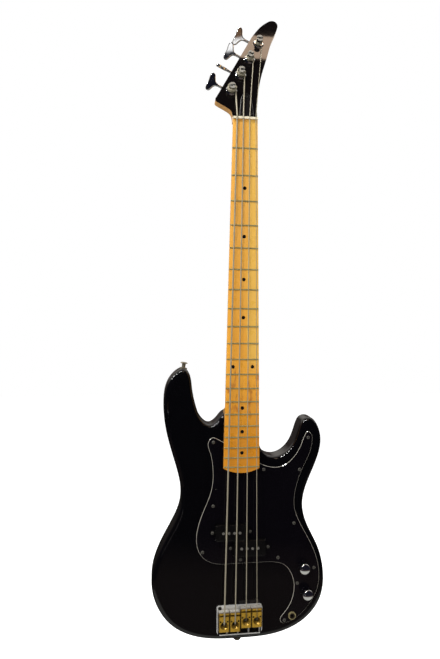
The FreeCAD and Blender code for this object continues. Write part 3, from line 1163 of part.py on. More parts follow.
VOLUME_SHARE = (0.3678, 0.264)
TONE_SHARE = (0.3873, 0.168)
JACK_SHARE = (0.3062, 0.0821)
volume, tone, jack = shares((VOLUME_SHARE, TONE_SHARE, JACK_SHARE), S.body_width, S.body_length, 0.0, TAIL)
pots = []
guard_bores = []
POT_SHAFT_SHARE = 0.6
shaft_low = -S.pot_height * POT_SHAFT_SHARE
for name, spot in (("volume", volume), ("tone", tone)):
    case = cylinder("pot_case_" + name, "pot_radius", "pot_height", spot, BACK)
    thread = cylinder("pot_thread_" + name, "pot_bush_radius", "guard_thickness + pot_bush_rise", spot)
    shaft_bore = cylinder("pot_bore_" + name, "shaft_radius + running_clearance",
                          "guard_thickness + pot_bush_rise + pot_height", spot + FRONT * shaft_low)
    pots.append(cut("pot_" + name, fuse("pot_solid_" + name, [case, thread]), [shaft_bore]))
    hexagon = doc.addObject("Part::Prism", "pot_hexagon_" + name)
    hexagon.Polygon = 6
    bind(hexagon, Circumradius="pot_nut_flats / sqrt(3)", Height="pot_nut_height")
    hexagon.Placement = Place(spot + guard_top, Rot())
    nut_bore = cylinder("pot_nut_bore_" + name, "pot_bush_radius", "pot_nut_height + 2 * overrun",
                        spot + guard_top - FRONT * S.overrun)
    pots.append(cut("pot_nut_" + name, hexagon, [nut_bore]))
    guard_bores.append(cylinder("guard_bore_" + name, "pot_bush_radius + screw_fit",
                                "guard_thickness + 2 * overrun", spot - FRONT * S.overrun))
    shaft = cylinder(name + "_shaft", "shaft_radius",
                     "guard_thickness + shaft_rise + pot_height * %s" % POT_SHAFT_SHARE, FRONT * shaft_low)
    keep(shaft, name + "_shaft", STAND.multiply(Place(spot + FRONT * shaft_low, Rot())))

    knob_low = S.guard_thickness + S.knob_gap
    barrel = cylinder("knob_barrel_" + name, "knob_radius", "knob_height - knob_gap - knob_dome", FRONT * knob_low)
    dome = bind(doc.addObject("Part::Ellipsoid", "knob_dome_" + name), Radius1="knob_dome", Radius2="knob_radius",
                Radius3="knob_radius")
    dome_low = S.guard_thickness + S.knob_height - S.knob_dome
    dome.Placement = Place(FRONT * dome_low, Rot())
    solid = fuse("knob_solid_" + name, [barrel, dome])
    recess = cylinder("knob_recess_" + name, "knob_recess_radius", "knob_recess_depth + overrun",
                      FRONT * (knob_low - S.overrun))
    bore = cylinder("knob_bore_" + name, "shaft_radius", "guard_thickness + shaft_rise", ORIGIN)
    groove = box("knob_groove_" + name, "knurl_depth + overrun", "knurl_width",
                 "knob_height - knob_gap - knob_dome - knob_skirt",
                 Vec(S.knob_radius - S.knurl_depth, -S.knurl_width / 2, knob_low + S.knob_skirt))
    around = [Place(ORIGIN, Rot(FRONT, 360 * step / S.knurl_count)) for step in range(int(S.knurl_count))]
    knurl = copies("knob_knurl_" + name, groove, around)
    keep(cut(name + "_knob", solid, [recess, bore, knurl]), name + "_knob", STAND.multiply(Place(spot, Rot())))
keep(group("potentiometers", pots), "potentiometers")

jack_sleeve = cylinder("jack_sleeve", "jack_sleeve", "guard_thickness + jack_rise", jack)
jack_body = cylinder("jack_body", "jack_body_radius", "jack_body_depth", jack, BACK)
jack_bore = cylinder("jack_bore", "jack_bore", "guard_thickness + jack_rise + jack_body_depth - jack_nut_height",
                     jack - FRONT * (S.jack_body_depth - S.jack_nut_height - S.overrun))
jack_solid = cut("jack_solid", fuse("jack_blank", [jack_sleeve, jack_body]), [jack_bore])
jack_ring = cylinder("jack_ring", "jack_nut_radius", "jack_nut_height", jack + guard_top)
jack_ring_bore = cylinder("jack_ring_bore", "jack_sleeve", "jack_nut_height + 2 * overrun",
                          jack + guard_top - FRONT * S.overrun)
jack_nut = cut("jack_nut", jack_ring, [jack_ring_bore])
keep(group("output_jack", [jack_solid, jack_nut]), "output_jack")
guard_bores.append(cylinder("guard_bore_jack", "jack_sleeve + screw_fit", "guard_thickness + 2 * overrun",
                            jack - FRONT * S.overrun))
guard_cuts = [neck_notch, guard_holes, pickup_holes, spare_hole] + guard_windows + guard_bores
keep(cut("pickguard", guard_bevelled, guard_cuts), "pickguard")


def trench(name, start, end, width, depth):
    """A straight channel cut from the front between two places."""
    run = end - start
    lane = bind(doc.addObject("Part::Box", name), Width=width, Height=depth + " + overrun")
    lane.Length = run.Length
    turned = Rot(SIDE, run)
    lane.Placement = Place(start - turned.multVec(ALONG * (size_of(width) / 2)) - FRONT * size_of(depth), turned)
    return lane


for name, spot, room in (("volume", volume, "control_room"), ("tone", tone, "control_room"),
                         ("jack", jack, "jack_room")):
    cavity_tools.append(cylinder(name + "_room", room, "control_depth + overrun", spot + FRONT * S.overrun, BACK))
cavity_tools.append(trench("pot_lane", volume, tone, "control_room", "control_depth"))
cavity_tools.append(trench("jack_lane", tone, jack, "jack_room", "control_depth"))
cavity_tools.append(trench("pickup_lane", pickup_middles[1], volume, "channel_width", "channel_depth"))

wire_drop = S.pot_height / 2
LEAD_SHARE = 0.35
WIRE_BEND_SHARE = 0.45


def lead(name, start, end):
    """A wire that leaves one piece downwards, crosses the cavity and rises to another."""
    low = FRONT * wire_drop
    points = [start, start - low, end - low, end]
    return given(name, tube(name, bent_route(points, WIRE_BEND_SHARE), S.wire_radius))


pot_floor = BACK * S.pot_height
side_step = SIDE * (S.pot_radius * LEAD_SHARE)
former_floor = BACK * S.pickup_drop
coil_ends = [middle + SIDE * (S.pickup_length / 4) + former_floor for middle in pickup_middles]
leads = [lead("lead_coils", coil_ends[0], coil_ends[1] - SIDE * (S.pickup_length / 2)),
         lead("lead_pickup", coil_ends[1], volume - side_step + pot_floor),
         lead("lead_pots", volume + side_step + pot_floor, tone + side_step + pot_floor)]
jack_side = jack + (tone - jack).normalize() * (S.jack_body_radius + S.wire_radius)
jack_lead_points = [tone - side_step + pot_floor, tone - side_step + pot_floor - FRONT * wire_drop,
                    jack_side + pot_floor - FRONT * wire_drop, jack_side + pot_floor - FRONT * (3 * wire_drop)]
leads.append(given("lead_jack", tube("lead_jack", bent_route(jack_lead_points, WIRE_BEND_SHARE), S.wire_radius)))
keep(group("wiring", leads), "wiring")
beside_wire = S.wire_radius + S.wall_play
capacitor_corner = tone + pot_floor + Vec(beside_wire - side_step.x, -beside_wire - S.capacitor_width,
                                          -S.capacitor_thickness)
capacitor = box("tone_capacitor", "capacitor_length", "capacitor_width", "capacitor_thickness")
keep(capacitor, "tone_capacitor", STAND.multiply(Place(capacitor_corner, Rot())))

# Strap buttons.

strap_base = cylinder("strap_base", "strap_base_radius", "strap_base_height")
strap_waist = cylinder("strap_waist", "strap_neck_radius", "strap_base_height + strap_neck_height")
flare_low = FRONT * (S.strap_base_height + S.strap_neck_height)
strap_flare = cone("strap_flare", "strap_neck_radius", "strap_head_radius", "strap_head_height / 2", flare_low)
strap_head = cone("strap_head", "strap_head_radius", "strap_head_radius - strap_head_height / 2",
                  "strap_head_height / 2", flare_low + FRONT * (S.strap_head_height / 2))
strap_solid = fuse("strap_solid", [strap_base, strap_waist, strap_flare, strap_head])
strap_height = S.strap_base_height + S.strap_neck_height + S.strap_head_height
strap_bore = cylinder("strap_bore", "strap_screw_radius + screw_fit",
                      "strap_base_height + strap_neck_height + strap_head_height + 2 * overrun",
                      -FRONT * S.overrun)
strap_sink = cone("strap_sink", "strap_screw_radius + screw_fit", "strap_screw_head + screw_fit",
                  "strap_screw_rise", FRONT * (strap_height - S.strap_screw_rise))
strap_button = cut("strap_button", strap_solid, [strap_bore, strap_sink])
strap_screw = screw("strap_screw", "strap_screw_head", "strap_screw_rise", "strap_screw_radius",
                    "strap_screw_length", True)
lean = math.radians(S.horn_button_lean)
half_depth = BODY_BACK / 2
HORN_BUTTON_SHARE = (-0.326, 0.987)
horn_seat = shares((HORN_BUTTON_SHARE,), S.body_width, S.body_length, 0.0, TAIL)[0]
strap_places = [Place(horn_seat + FRONT * half_depth, Rot(FRONT, Vec(math.sin(lean), math.cos(lean), 0))),
                Place(Vec(0, TAIL + S.strap_seat, half_depth), Rot(FRONT, -ALONG))]
keep(copies("strap_buttons", strap_button, strap_places), "strap_buttons")
screw_top = Place(FRONT * strap_height, Rot())
keep(copies("strap_screws", strap_screw, [place.multiply(screw_top) for place in strap_places]), "strap_screws")
strap_flat = cylinder("strap_flat", "strap_base_radius + wall_play", "strap_base_height + strap_neck_height")
strap_hole = cylinder("strap_hole", "strap_screw_radius + screw_fit", "strap_screw_length", ORIGIN, BACK)
strap_tool = fuse("strap_tool", [strap_flat, strap_hole])
strap_cuts = copies("strap_cuts", strap_tool, strap_places)

# Bridge.

bridge_front = BRIDGE_LINE + S.bridge_ahead
bridge_rear = bridge_front - S.bridge_length
bridge_middle = Vec(0, (bridge_front + bridge_rear) / 2, 0)
BRIDGE_SCREW_SHARES = ((-0.43, 0.41), (0.43, 0.41), (-0.35, -0.38), (0.35, -0.38))
bridge_spots = shares(BRIDGE_SCREW_SHARES, S.bridge_width, S.bridge_length)
bridge_block = padded_plate("bridge_block", "bridge_width", "bridge_length", "bridge_side_height",
                            bridge_spots, "bridge_screw_radius + screw_fit")
bridge_inside = S.bridge_width / 2 - S.bridge_wall
bridge_round = round_edges("bridge_round", bridge_block, S.bridge_corner,
                           lambda edge: upright(edge) and abs(edge.CenterOfMass.x) > bridge_inside)
bridge_round.Placement = Place(bridge_middle, Rot())
well_block = box("bridge_well_block", "bridge_width - 2 * bridge_wall", "bridge_length", "bridge_side_height",
                 Vec(-S.bridge_width / 2 + S.bridge_wall, bridge_rear + S.bridge_wall, S.bridge_thickness))
bridge_well = round_edges("bridge_well", well_block, S.bridge_corner - S.bridge_wall,
                          lambda edge: upright(edge) and edge.CenterOfMass.y < bridge_middle.y)
rear_wall = box("bridge_rear_wall", "bridge_width - 2 * bridge_corner", "bridge_wall", "bridge_rear_height",
                Vec(-S.bridge_width / 2 + S.bridge_corner, bridge_rear, 0))
tray = fuse("bridge_tray", [cut("bridge_rim", bridge_round, [bridge_well]), rear_wall])
intonation_holes = [cylinder("intonation_hole_" + name, "intonation_radius + running_clearance",
                             "bridge_wall + 2 * overrun",
                             Vec(bowl.x + S.intonation_right, bridge_rear - S.overrun, S.intonation_height), ALONG)
                    for name, bowl in zip(STRING_NAMES, bowls)]
bridge_screw = screw("bridge_screw", "bridge_screw_head", "bridge_screw_rise", "bridge_screw_radius",
                     "bridge_screw_length", True)
bridge_screw_places = [Place(bridge_middle + spot + FRONT * S.bridge_thickness, Rot()) for spot in bridge_spots]
keep(copies("bridge_screws", bridge_screw, bridge_screw_places), "bridge_screws")
bridge_sink = cone("bridge_sink", "bridge_screw_radius + screw_fit", "bridge_screw_head + screw_fit",
                   "bridge_screw_rise", -FRONT * S.bridge_screw_rise)
bridge_sinks = copies("bridge_sinks", bridge_sink, bridge_screw_places)
bridge_hole = cylinder("bridge_screw_hole", "bridge_screw_radius + screw_fit", "bridge_screw_length + screw_fit",
                       ORIGIN, BACK)
bridge_holes = copies("bridge_screw_holes", bridge_hole, bridge_screw_places)
keep(cut("bridge_plate", tray, intonation_holes + [bridge_sinks, bridge_holes]), "bridge_plate")

body_cuts = [pocket, pocket_side, neck_holes, guard_holes, pickup_holes, bridge_holes, strap_cuts] + cavity_tools
keep(cut("body", body_round, body_cuts), "body")

saddle_low = S.bridge_thickness + S.saddle_lift
screw_low = S.bridge_thickness + S.saddle_play
for name, bowl in zip(STRING_NAMES, bowls):
    block = box("saddle_block_" + name, "saddle_width", "saddle_front + saddle_back",
                "saddle_top - bridge_thickness - saddle_lift",
                Vec(-S.saddle_width / 2, -S.saddle_back, saddle_low))
    soft = round_edges("saddle_soft_" + name, block, S.saddle_edge,
                       lambda edge: upright(edge) or at_height(S.saddle_top)(edge))
    dish = cone("saddle_dish_" + name, "anchor_radius", "bowl_radius", "bowl_depth",
                FRONT * (S.saddle_top - S.bowl_depth))
    anchor = cylinder("saddle_anchor_" + name, "anchor_radius", "saddle_top", ORIGIN)
    room = cylinder("saddle_room_" + name, "ball_room_radius", "ball_room_height + overrun",
                    FRONT * (saddle_low - S.overrun))
    groove = box("saddle_groove_" + name, "saddle_width + 2 * overrun", "saddle_groove_width",
                 "saddle_groove_depth + overrun",
                 Vec(-S.saddle_width / 2 - S.overrun, S.saddle_front - S.saddle_strip - S.saddle_groove_width,
                     S.saddle_top - S.saddle_groove_depth))
    bore_low = Vec(S.intonation_right, -S.saddle_back - S.overrun, S.intonation_height)
    bore = cylinder("saddle_bore_" + name, "intonation_radius + running_clearance",
                    "intonation_bite + travel_room + overrun", bore_low, ALONG)
    side_reach = S.saddle_width / 2 - S.height_screw_inset
    front_reach = S.saddle_front - S.height_screw_setback
    taps = []
    lifters = []
    for side in (-1, 1):
        foot = Vec(side * side_reach, front_reach, screw_low)
        height = "saddle_top - height_screw_sink - bridge_thickness - saddle_play"
        pin = cylinder("height_pin_%s_%d" % (name, side + 1), "height_screw_radius", height, foot)
        socket = cylinder("height_socket_%s_%d" % (name, side + 1), "socket_radius", "socket_depth + overrun",
                          Vec(foot.x, foot.y, S.saddle_top - S.height_screw_sink - S.socket_depth))
        lifters.append(cut("height_screw_%s_%d" % (name, side + 1), pin, [socket]))
        taps.append(cylinder("height_tap_%s_%d" % (name, side + 1), "height_screw_radius + screw_fit",
                             "saddle_top", Vec(foot.x, foot.y, 0)))
    at_bowl = STAND.multiply(Place(Vec(bowl.x, bowl.y, 0), Rot()))
    keep(cut("saddle_" + name, soft, [dish, anchor, room, groove, bore] + taps), "saddle_" + name, at_bowl)
    keep(group("height_screws_" + name, lifters), "height_screws_" + name, at_bowl)
    saddle_rear = bowl.y - S.saddle_back
    shank_length = saddle_rear + S.intonation_bite - bridge_rear + S.wall_play
    shank = Part.makeCylinder(S.intonation_radius, shank_length, ORIGIN, ALONG)
    head = cylinder("intonation_head_" + name, "intonation_head_radius", "intonation_head_length", ORIGIN, -ALONG)
    cross = [given("intonation_cross_%s_%d" % (name, step),
                   Part.makeBox(wide, S.intonation_head_length / 2 + S.overrun, tall,
                                Vec(-wide / 2, -S.intonation_head_length - S.overrun, -tall / 2)))
             for step, (wide, tall) in enumerate(((S.intonation_head_radius, S.screw_drive_width),
                                                  (S.screw_drive_width, S.intonation_head_radius)))]
    pieces = [given("intonation_shank_" + name, shank), head]
    turner = cut("intonation_screw_" + name, fuse("intonation_blank_" + name, pieces), cross)
    head_place = Vec(bowl.x + S.intonation_right, bridge_rear - S.wall_play, S.intonation_height)
    place = STAND.multiply(Place(head_place, Rot()))
    keep(turner, "intonation_screw_" + name, place)

# Finished pieces.

doc.recompute()
for piece in doc.Objects:
    if "Invalid" in piece.State or "Error" in piece.State:
        raise RuntimeError("%s did not build: %s" % (piece.Name, piece.State))
os.makedirs("parts", exist_ok=True)
for node in nodes:
    if node.Shape.isNull() or not node.Shape.isValid() or not node.Shape.Solids:
        raise RuntimeError("%s has no valid solid" % node.Label)
for node in nodes:
    node.Shape.exportStep("parts/%s.step" % node.Label)
    room = node.Shape.BoundBox
    print("%-20s %2d solids %10.1f mm3  x %7.1f %7.1f  y %6.1f %6.1f  z %7.1f %7.1f" % (
        node.Label, len(node.Shape.Solids), node.Shape.Volume, room.XMin, room.XMax, room.YMin, room.YMax,
        room.ZMin, room.ZMax))
print("%d nodes" % len(nodes))
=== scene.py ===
# %% [markdown]
# # A black four-string electric bass
#
# This notebook dresses an electric bass: a gloss black body, an amber maple neck, chrome and brass
# hardware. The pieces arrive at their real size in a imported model, and nothing here moves or resizes
# them. We place the camera, give each piece its finish, and then light the studio.
# All lengths are in metres. +Z runs up the neck, the front of the bass faces -Y, and the origin is
# at the nut.

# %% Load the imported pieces
import math

import bpy
from mathutils import Matrix, Vector


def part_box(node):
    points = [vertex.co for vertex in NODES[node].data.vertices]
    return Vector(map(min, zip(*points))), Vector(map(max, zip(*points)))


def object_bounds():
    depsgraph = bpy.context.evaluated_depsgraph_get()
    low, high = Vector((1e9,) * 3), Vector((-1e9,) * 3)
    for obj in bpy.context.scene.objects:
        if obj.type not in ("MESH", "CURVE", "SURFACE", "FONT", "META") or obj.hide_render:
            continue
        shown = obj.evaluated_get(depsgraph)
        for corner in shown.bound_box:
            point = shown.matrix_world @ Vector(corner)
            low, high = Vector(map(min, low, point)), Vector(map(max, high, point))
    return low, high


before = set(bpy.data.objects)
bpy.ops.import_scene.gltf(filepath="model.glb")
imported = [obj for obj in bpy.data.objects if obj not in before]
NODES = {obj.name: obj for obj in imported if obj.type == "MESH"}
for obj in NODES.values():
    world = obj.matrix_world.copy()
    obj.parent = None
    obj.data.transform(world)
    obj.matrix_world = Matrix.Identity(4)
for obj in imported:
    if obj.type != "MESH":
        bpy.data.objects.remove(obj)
CAD_LOW, CAD_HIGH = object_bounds()
print("pieces:", len(NODES), "size:", [round(side, 4) for side in CAD_HIGH - CAD_LOW])

# %% [markdown]
# ## The camera
#
# A camera can be placed by eye, but matching a picture that way takes many tries. Here the place, the
# three turns and the focal length were worked out once from points whose real distance is known: the
# frets and the strings. A turn is easiest to read as pitch, yaw and roll of a camera that looks
# straight along +Y, so the matrix is built from those three.

# %% Camera
PHOTO_WIDTH = 440
PHOTO_HEIGHT = 659
FOCAL_PIXELS = 512
CAMERA_PLACE = Vector((-0.149, -0.871, -0.333))
CAMERA_PITCH = math.radians(1.5)
CAMERA_YAW = math.radians(-7.21)
CAMERA_ROLL = math.radians(0.37)
NEAR_CLIP = 0.01


def camera_matrix():
    """Turn a camera that looks along +Y by the three angles, and put it in its place."""
    straight = Matrix(((1, 0, 0), (0, 0, -1), (0, 1, 0)))
    turn = (Matrix.Rotation(CAMERA_ROLL, 3, "Z") @ Matrix.Rotation(CAMERA_YAW, 3, "Y")
            @ Matrix.Rotation(CAMERA_PITCH, 3, "X") @ straight)
    right, down, forward = turn
    axes = Matrix((right, -down, -forward)).transposed()
    return Matrix.Translation(CAMERA_PLACE) @ axes.to_4x4()


camera_data = bpy.data.cameras.new("camera")
camera = bpy.data.objects.new("camera", camera_data)
bpy.context.scene.collection.objects.link(camera)
camera.matrix_world = camera_matrix()
camera_data.lens = FOCAL_PIXELS * camera_data.sensor_width / max(PHOTO_WIDTH, PHOTO_HEIGHT)
camera_data.clip_start = NEAR_CLIP
bpy.context.scene.camera = camera
bpy.context.scene.view_settings.view_transform = "Standard"
print("lens:", round(camera_data.lens, 2), "mm")

# %% [markdown]
# ## Small helpers for shader nodes
#
# Materials in Blender are graphs. Building one in Python needs the same three moves over and over: add
# a node, fill its sockets, link it to the next. One helper does all three, so that each material below
# reads as a list of what it is made of.


# %% One node, and sums with nodes
def add_node(tree, kind, inputs=None, **options):
    """Add a node, set its options, and fill or link its input sockets by name or number."""
    node = tree.nodes.new(kind)
    for name, value in options.items():
        setattr(node, name, value)
    for socket, value in (inputs or {}).items():
        if isinstance(value, bpy.types.NodeSocket):
            tree.links.new(value, node.inputs[socket])
        else:
            node.inputs[socket].default_value = value
    return node


def maths(tree, operation, first, second=0.0, clamp=False):
    """One Math node; returns its output socket."""
    return add_node(tree, "ShaderNodeMath", {0: first, 1: second}, operation=operation,
                    use_clamp=clamp).outputs[0]


def remap(tree, value, low, high, new_low, new_high):
    """Map a value from one range to another, held at the ends."""
    return add_node(tree, "ShaderNodeMapRange", {"Value": value, "From Min": low, "From Max": high,
                                                 "To Min": new_low, "To Max": new_high}).outputs[0]


def fade(tree, value, start, end):
    """0 up to the start, 1 from the end on, and even between them."""
    return remap(tree, value, start, end, 0.0, 1.0)


def between(tree, value, low, high, soft):
    """1 between two values and 0 outside them, with soft ends."""
    return maths(tree, "MULTIPLY", fade(tree, value, low - soft, low), fade(tree, value, high + soft, high))


print("sums ready")

# %% [markdown]
# ### Colours and places
#
# Most finishes start from one colour and let it drift a little. Noise gives the drift. Multiplying the
# coordinate first draws the noise out along an axis, as grain and scratches are.


# %% Colours, noise and places
def opaque(colour, share=1.0):
    """A colour with its alpha, darkened to a share of itself."""
    return (*[channel * share for channel in colour], 1.0)


def blend_colours(tree, amount, first, second):
    """Mix two colours; returns the colour socket."""
    return add_node(tree, "ShaderNodeMix", {0: amount, 6: first, 7: second}, data_type="RGBA").outputs[2]


def noise(tree, vector, scale, detail=3.0, roughness=0.5):
    """Fractal noise from 0 to 1 at a scale per metre."""
    return add_node(tree, "ShaderNodeTexNoise", {"Vector": vector, "Scale": scale, "Detail": detail,
                                                 "Roughness": roughness}).outputs[0]


def mottled(tree, vector, scale, detail, colour, share):
    """A colour that drifts in patches towards a darker share of itself."""
    return blend_colours(tree, noise(tree, vector, scale, detail), opaque(colour, share), opaque(colour))


def stretched(tree, vector, factors):
    """Multiply a coordinate by three factors, so that a pattern is drawn out along an axis."""
    return add_node(tree, "ShaderNodeVectorMath", {0: vector, 1: factors}, operation="MULTIPLY").outputs[0]


def split(tree, vector):
    """The X, Y and Z sockets of a coordinate."""
    return add_node(tree, "ShaderNodeSeparateXYZ", {0: vector}).outputs


print("colours ready")

# %% [markdown]
# ### Node groups
#
# A node group is a small graph with sockets of its own, as a function has arguments. It is built once,
# and each material that places it sets its own values. So a change to the group changes every finish
# that uses it.

# %% Make and place a group
SOCKET_KINDS = {"vector": "NodeSocketVector", "colour": "NodeSocketColor", "value": "NodeSocketFloat"}


def start_group(name, inputs, outputs):
    """A shader node group with named sockets; returns the group, its input node and its output node."""
    group = bpy.data.node_groups.new(name, "ShaderNodeTree")
    for title, kind in inputs:
        group.interface.new_socket(title, in_out="INPUT", socket_type=SOCKET_KINDS[kind])
    for title, kind in outputs:
        group.interface.new_socket(title, in_out="OUTPUT", socket_type=SOCKET_KINDS[kind])
    return group, group.nodes.new("NodeGroupInput"), group.nodes.new("NodeGroupOutput")


def use_group(tree, group, **inputs):
    """Place a group in a material, with its own values; returns its outputs."""
    return add_node(tree, "ShaderNodeGroup", inputs, node_tree=group).outputs


print("groups ready")

# %% [markdown]
# ## Effects that several finishes share
#
# A polished surface is never evenly smooth: hands leave smudges, cloths leave hairlines, lacquer dries
# with a faint waviness. Each of these is one node group. They read object coordinates in metres, so
# that a 1 mm pattern stays 1 mm on every piece.
#
# Smudges come first: patches where a polished surface is a little duller. They could be painted by hand
# on each piece, but noise with more contrast does it for all of them.

# %% Smudges
SMUDGE_EDGE = (0.38, 0.68)


def make_smudges():
    group, source, sink = start_group(
        "smudges",
        [("Vector", "vector"), ("Scale", "value"), ("Clean", "value"), ("Dull", "value")],
        [("Roughness", "value")])
    broad = noise(group, source.outputs["Vector"], source.outputs["Scale"], detail=4.0, roughness=0.62)
    span = maths(group, "SUBTRACT", source.outputs["Dull"], source.outputs["Clean"])
    spread = maths(group, "MULTIPLY", fade(group, broad, *SMUDGE_EDGE), span)
    total = maths(group, "ADD", spread, source.outputs["Clean"])
    group.links.new(total, sink.inputs["Roughness"])
    return group


SMUDGES = make_smudges()
print("group:", SMUDGES.name)

# %% [markdown]
# ### Hairlines
#
# Rubbing leaves fine scratches along one direction. Stretched noise is both their height, for a bump,
# and a mask of the deepest ones, which hold a little dirt.

# %% Hairlines
HAIRLINE_EDGE = (0.56, 0.66)


def make_hairlines():
    group, source, sink = start_group(
        "hairlines",
        [("Vector", "vector"), ("Stretch", "vector"), ("Scale", "value")],
        [("Height", "value"), ("Mask", "value")])
    drawn = stretched(group, source.outputs["Vector"], source.outputs["Stretch"])
    lines = noise(group, drawn, source.outputs["Scale"], detail=2.0, roughness=0.7)
    group.links.new(lines, sink.inputs["Height"])
    group.links.new(fade(group, lines, *HAIRLINE_EDGE), sink.inputs["Mask"])
    return group


HAIRLINES = make_hairlines()
print("group:", HAIRLINES.name)

# %% [markdown]
# ### Grain
#
# Maple has broad bands, thin streaks and short flecks, all along the neck. Three noises, each drawn out
# along Z by its own amount, are added up by their shares, and the sum blends two tones of wood.

# %% Grain: how much of Z is kept, scale, detail, roughness and share of each noise
GRAIN_LAYERS = ((0.10, 42.0, 3.0, 0.55, 0.50),
                (0.035, 260.0, 4.0, 0.60, 0.38),
                (0.14, 900.0, 2.0, 0.50, 0.12))
GRAIN_MIDDLE = 0.5


def make_grain():
    group, source, sink = start_group(
        "grain",
        [("Vector", "vector"), ("Pale", "colour"), ("Deep", "colour"), ("Contrast", "value")],
        [("Color", "colour"), ("Height", "value")])
    layers = []
    total = 0.0
    for along, scale, detail, roughness, share in GRAIN_LAYERS:
        drawn = stretched(group, source.outputs["Vector"], (1.0, 1.0, along))
        layers.append(noise(group, drawn, scale, detail, roughness))
        total = maths(group, "ADD", maths(group, "MULTIPLY", layers[-1], share), total)
    centred = maths(group, "SUBTRACT", total, GRAIN_MIDDLE)
    scaled = maths(group, "MULTIPLY", centred, source.outputs["Contrast"])
    amount = maths(group, "ADD", scaled, GRAIN_MIDDLE, clamp=True)
    colour = blend_colours(group, amount, source.outputs["Pale"], source.outputs["Deep"])
    streaks = layers[1]
    group.links.new(colour, sink.inputs["Color"])
    group.links.new(streaks, sink.inputs["Height"])
    return group


GRAIN = make_grain()
print("group:", GRAIN.name, "of", len(GRAIN_LAYERS), "noises")

# %% [markdown]
# ### Layer line
#
# Some sheets are glued from layers of different colours, which show where the edge is cut. A point's
# height above the sheet's back says in which layer it lies.


# %% Layer line: a band between two heights
def make_layer_line():
    group, source, sink = start_group(
        "layer_line",
        [("Vector", "vector"), ("Direction", "vector"), ("Low", "value"), ("High", "value")],
        [("Mask", "value")])
    height = add_node(group, "ShaderNodeVectorMath",
                      {0: source.outputs["Vector"], 1: source.outputs["Direction"]},
                      operation="DOT_PRODUCT").outputs["Value"]
    above = maths(group, "GREATER_THAN", height, source.outputs["Low"])
    below = maths(group, "LESS_THAN", height, source.outputs["High"])
    group.links.new(maths(group, "MULTIPLY", above, below), sink.inputs["Mask"])
    return group


LAYER_LINE = make_layer_line()
print("group:", LAYER_LINE.name)

# %% [markdown]
# ### Waviness
#
# Sprayed lacquer and moulded sheet are slowly uneven, which bends the picture that they mirror. A
# smooth noise with hardly any detail is enough.


# %% Waviness
def make_waviness():
    group, source, sink = start_group(
        "waviness", [("Vector", "vector"), ("Scale", "value")], [("Height", "value")])
    slow = noise(group, source.outputs["Vector"], source.outputs["Scale"], detail=1.0, roughness=0.4)
    group.links.new(slow, sink.inputs["Height"])
    return group


WAVINESS = make_waviness()
print("group:", WAVINESS.name)

# %% [markdown]
# ## Starting a finish
#
# Every finish starts the same way: a Principled shader and the object's own coordinates. Values that
# are the same all over go straight on the shader's sockets; only what changes over the surface comes
# through nodes.


# %% Start a finish
def start_finish(name, colour, roughness, metallic=0.0, coat=0.0, coat_roughness=0.05):
    """A material with its Principled shader set; returns the material, tree, shader and coordinates."""
    material = bpy.data.materials.new(name)
    material.use_nodes = True
    tree = material.node_tree
    shader = tree.nodes["Principled BSDF"]
    shader.inputs["Base Color"].default_value = opaque(colour)
    shader.inputs["Roughness"].default_value = roughness
    shader.inputs["Metallic"].default_value = metallic
    shader.inputs["Coat Weight"].default_value = coat
    shader.inputs["Coat Roughness"].default_value = coat_roughness
    return material, tree, shader, add_node(tree, "ShaderNodeTexCoord").outputs["Object"]


def add_smudges(tree, shader, vector, scale, clean, dull):
    """Let the roughness go from clean to dull in patches."""
    patches = use_group(tree, SMUDGES, Vector=vector, Scale=scale, Clean=clean, Dull=dull)
    tree.links.new(patches["Roughness"], shader.inputs["Roughness"])


def add_bump(tree, shader, height, strength, depth):
    """Turn a height into a normal on the shader; depth is the height of the relief in metres."""
    bump = add_node(tree, "ShaderNodeBump", {"Height": height, "Strength": strength, "Distance": depth})
    tree.links.new(bump.outputs["Normal"], shader.inputs["Normal"])


def add_waves(tree, shader, vector, scale, strength, depth):
    """Give the surface its slow unevenness."""
    wave = use_group(tree, WAVINESS, Vector=vector, Scale=scale)
    add_bump(tree, shader, wave["Height"], strength, depth)


def dress(material, *names):
    """Give a material to each named piece, or to each piece whose name starts with a name ending in _."""
    worn = [node for node in NODES if any(node == name or (name.endswith("_") and node.startswith(name))
                                          for name in names)]
    for node in worn:
        NODES[node].data.materials.clear()
        NODES[node].data.materials.append(material)
    print(material.name, "on", len(worn), "pieces")


print("finishes ready")

# %% [markdown]
# ## Black lacquer
#
# The body is solid wood under many coats of gloss black, rubbed out and polished. Nearly all that we
# see of it is reflection, so its colour is almost black and its roughness is low, with faint smudges
# and the slow waviness that a sprayed surface keeps. The headstock face wears the same finish.


# %% Black lacquer on the body and the headstock face
def black_lacquer(name, colour, clean, dull):
    material, tree, shader, vector = start_finish(name, colour, clean)
    add_smudges(tree, shader, vector, scale=18.0, clean=clean, dull=dull)
    tone = mottled(tree, vector, scale=9.0, detail=2.0, colour=colour, share=0.7)
    tree.links.new(tone, shader.inputs["Base Color"])
    add_waves(tree, shader, vector, scale=60.0, strength=0.25, depth=0.00002)
    return material


dress(black_lacquer("black_body_lacquer", (0.0016, 0.0015, 0.002), clean=0.015, dull=0.035), "body")
dress(black_lacquer("black_face_lacquer", (0.004, 0.003, 0.003), clean=0.02, dull=0.05), "headstock_face")

# %% [markdown]
# ## Amber maple
#
# The neck and fretboard are maple under a tinted gloss coat. Age turns the coat amber, and the tone is
# deeper at the heel than at the nut. The grain group gives streaks along the neck. Three pairs of tones
# are blended along Z, so that the change is slow. A paler stripe runs along the treble side, and
# fingers have worn reddish marks into the coat past the octave.
# A picture could be laid over the board instead, but it would stretch at the edges; a pattern that is
# worked out from the place of each point has no edges at all.

# %% Places along the fretboard
SCALE_LENGTH = 0.864
OCTAVE = 12


def fret_height(number):
    """Height of a fret: each step shortens the string by the twelfth root of two."""
    return -SCALE_LENGTH * (1 - 2 ** (-number / OCTAVE))


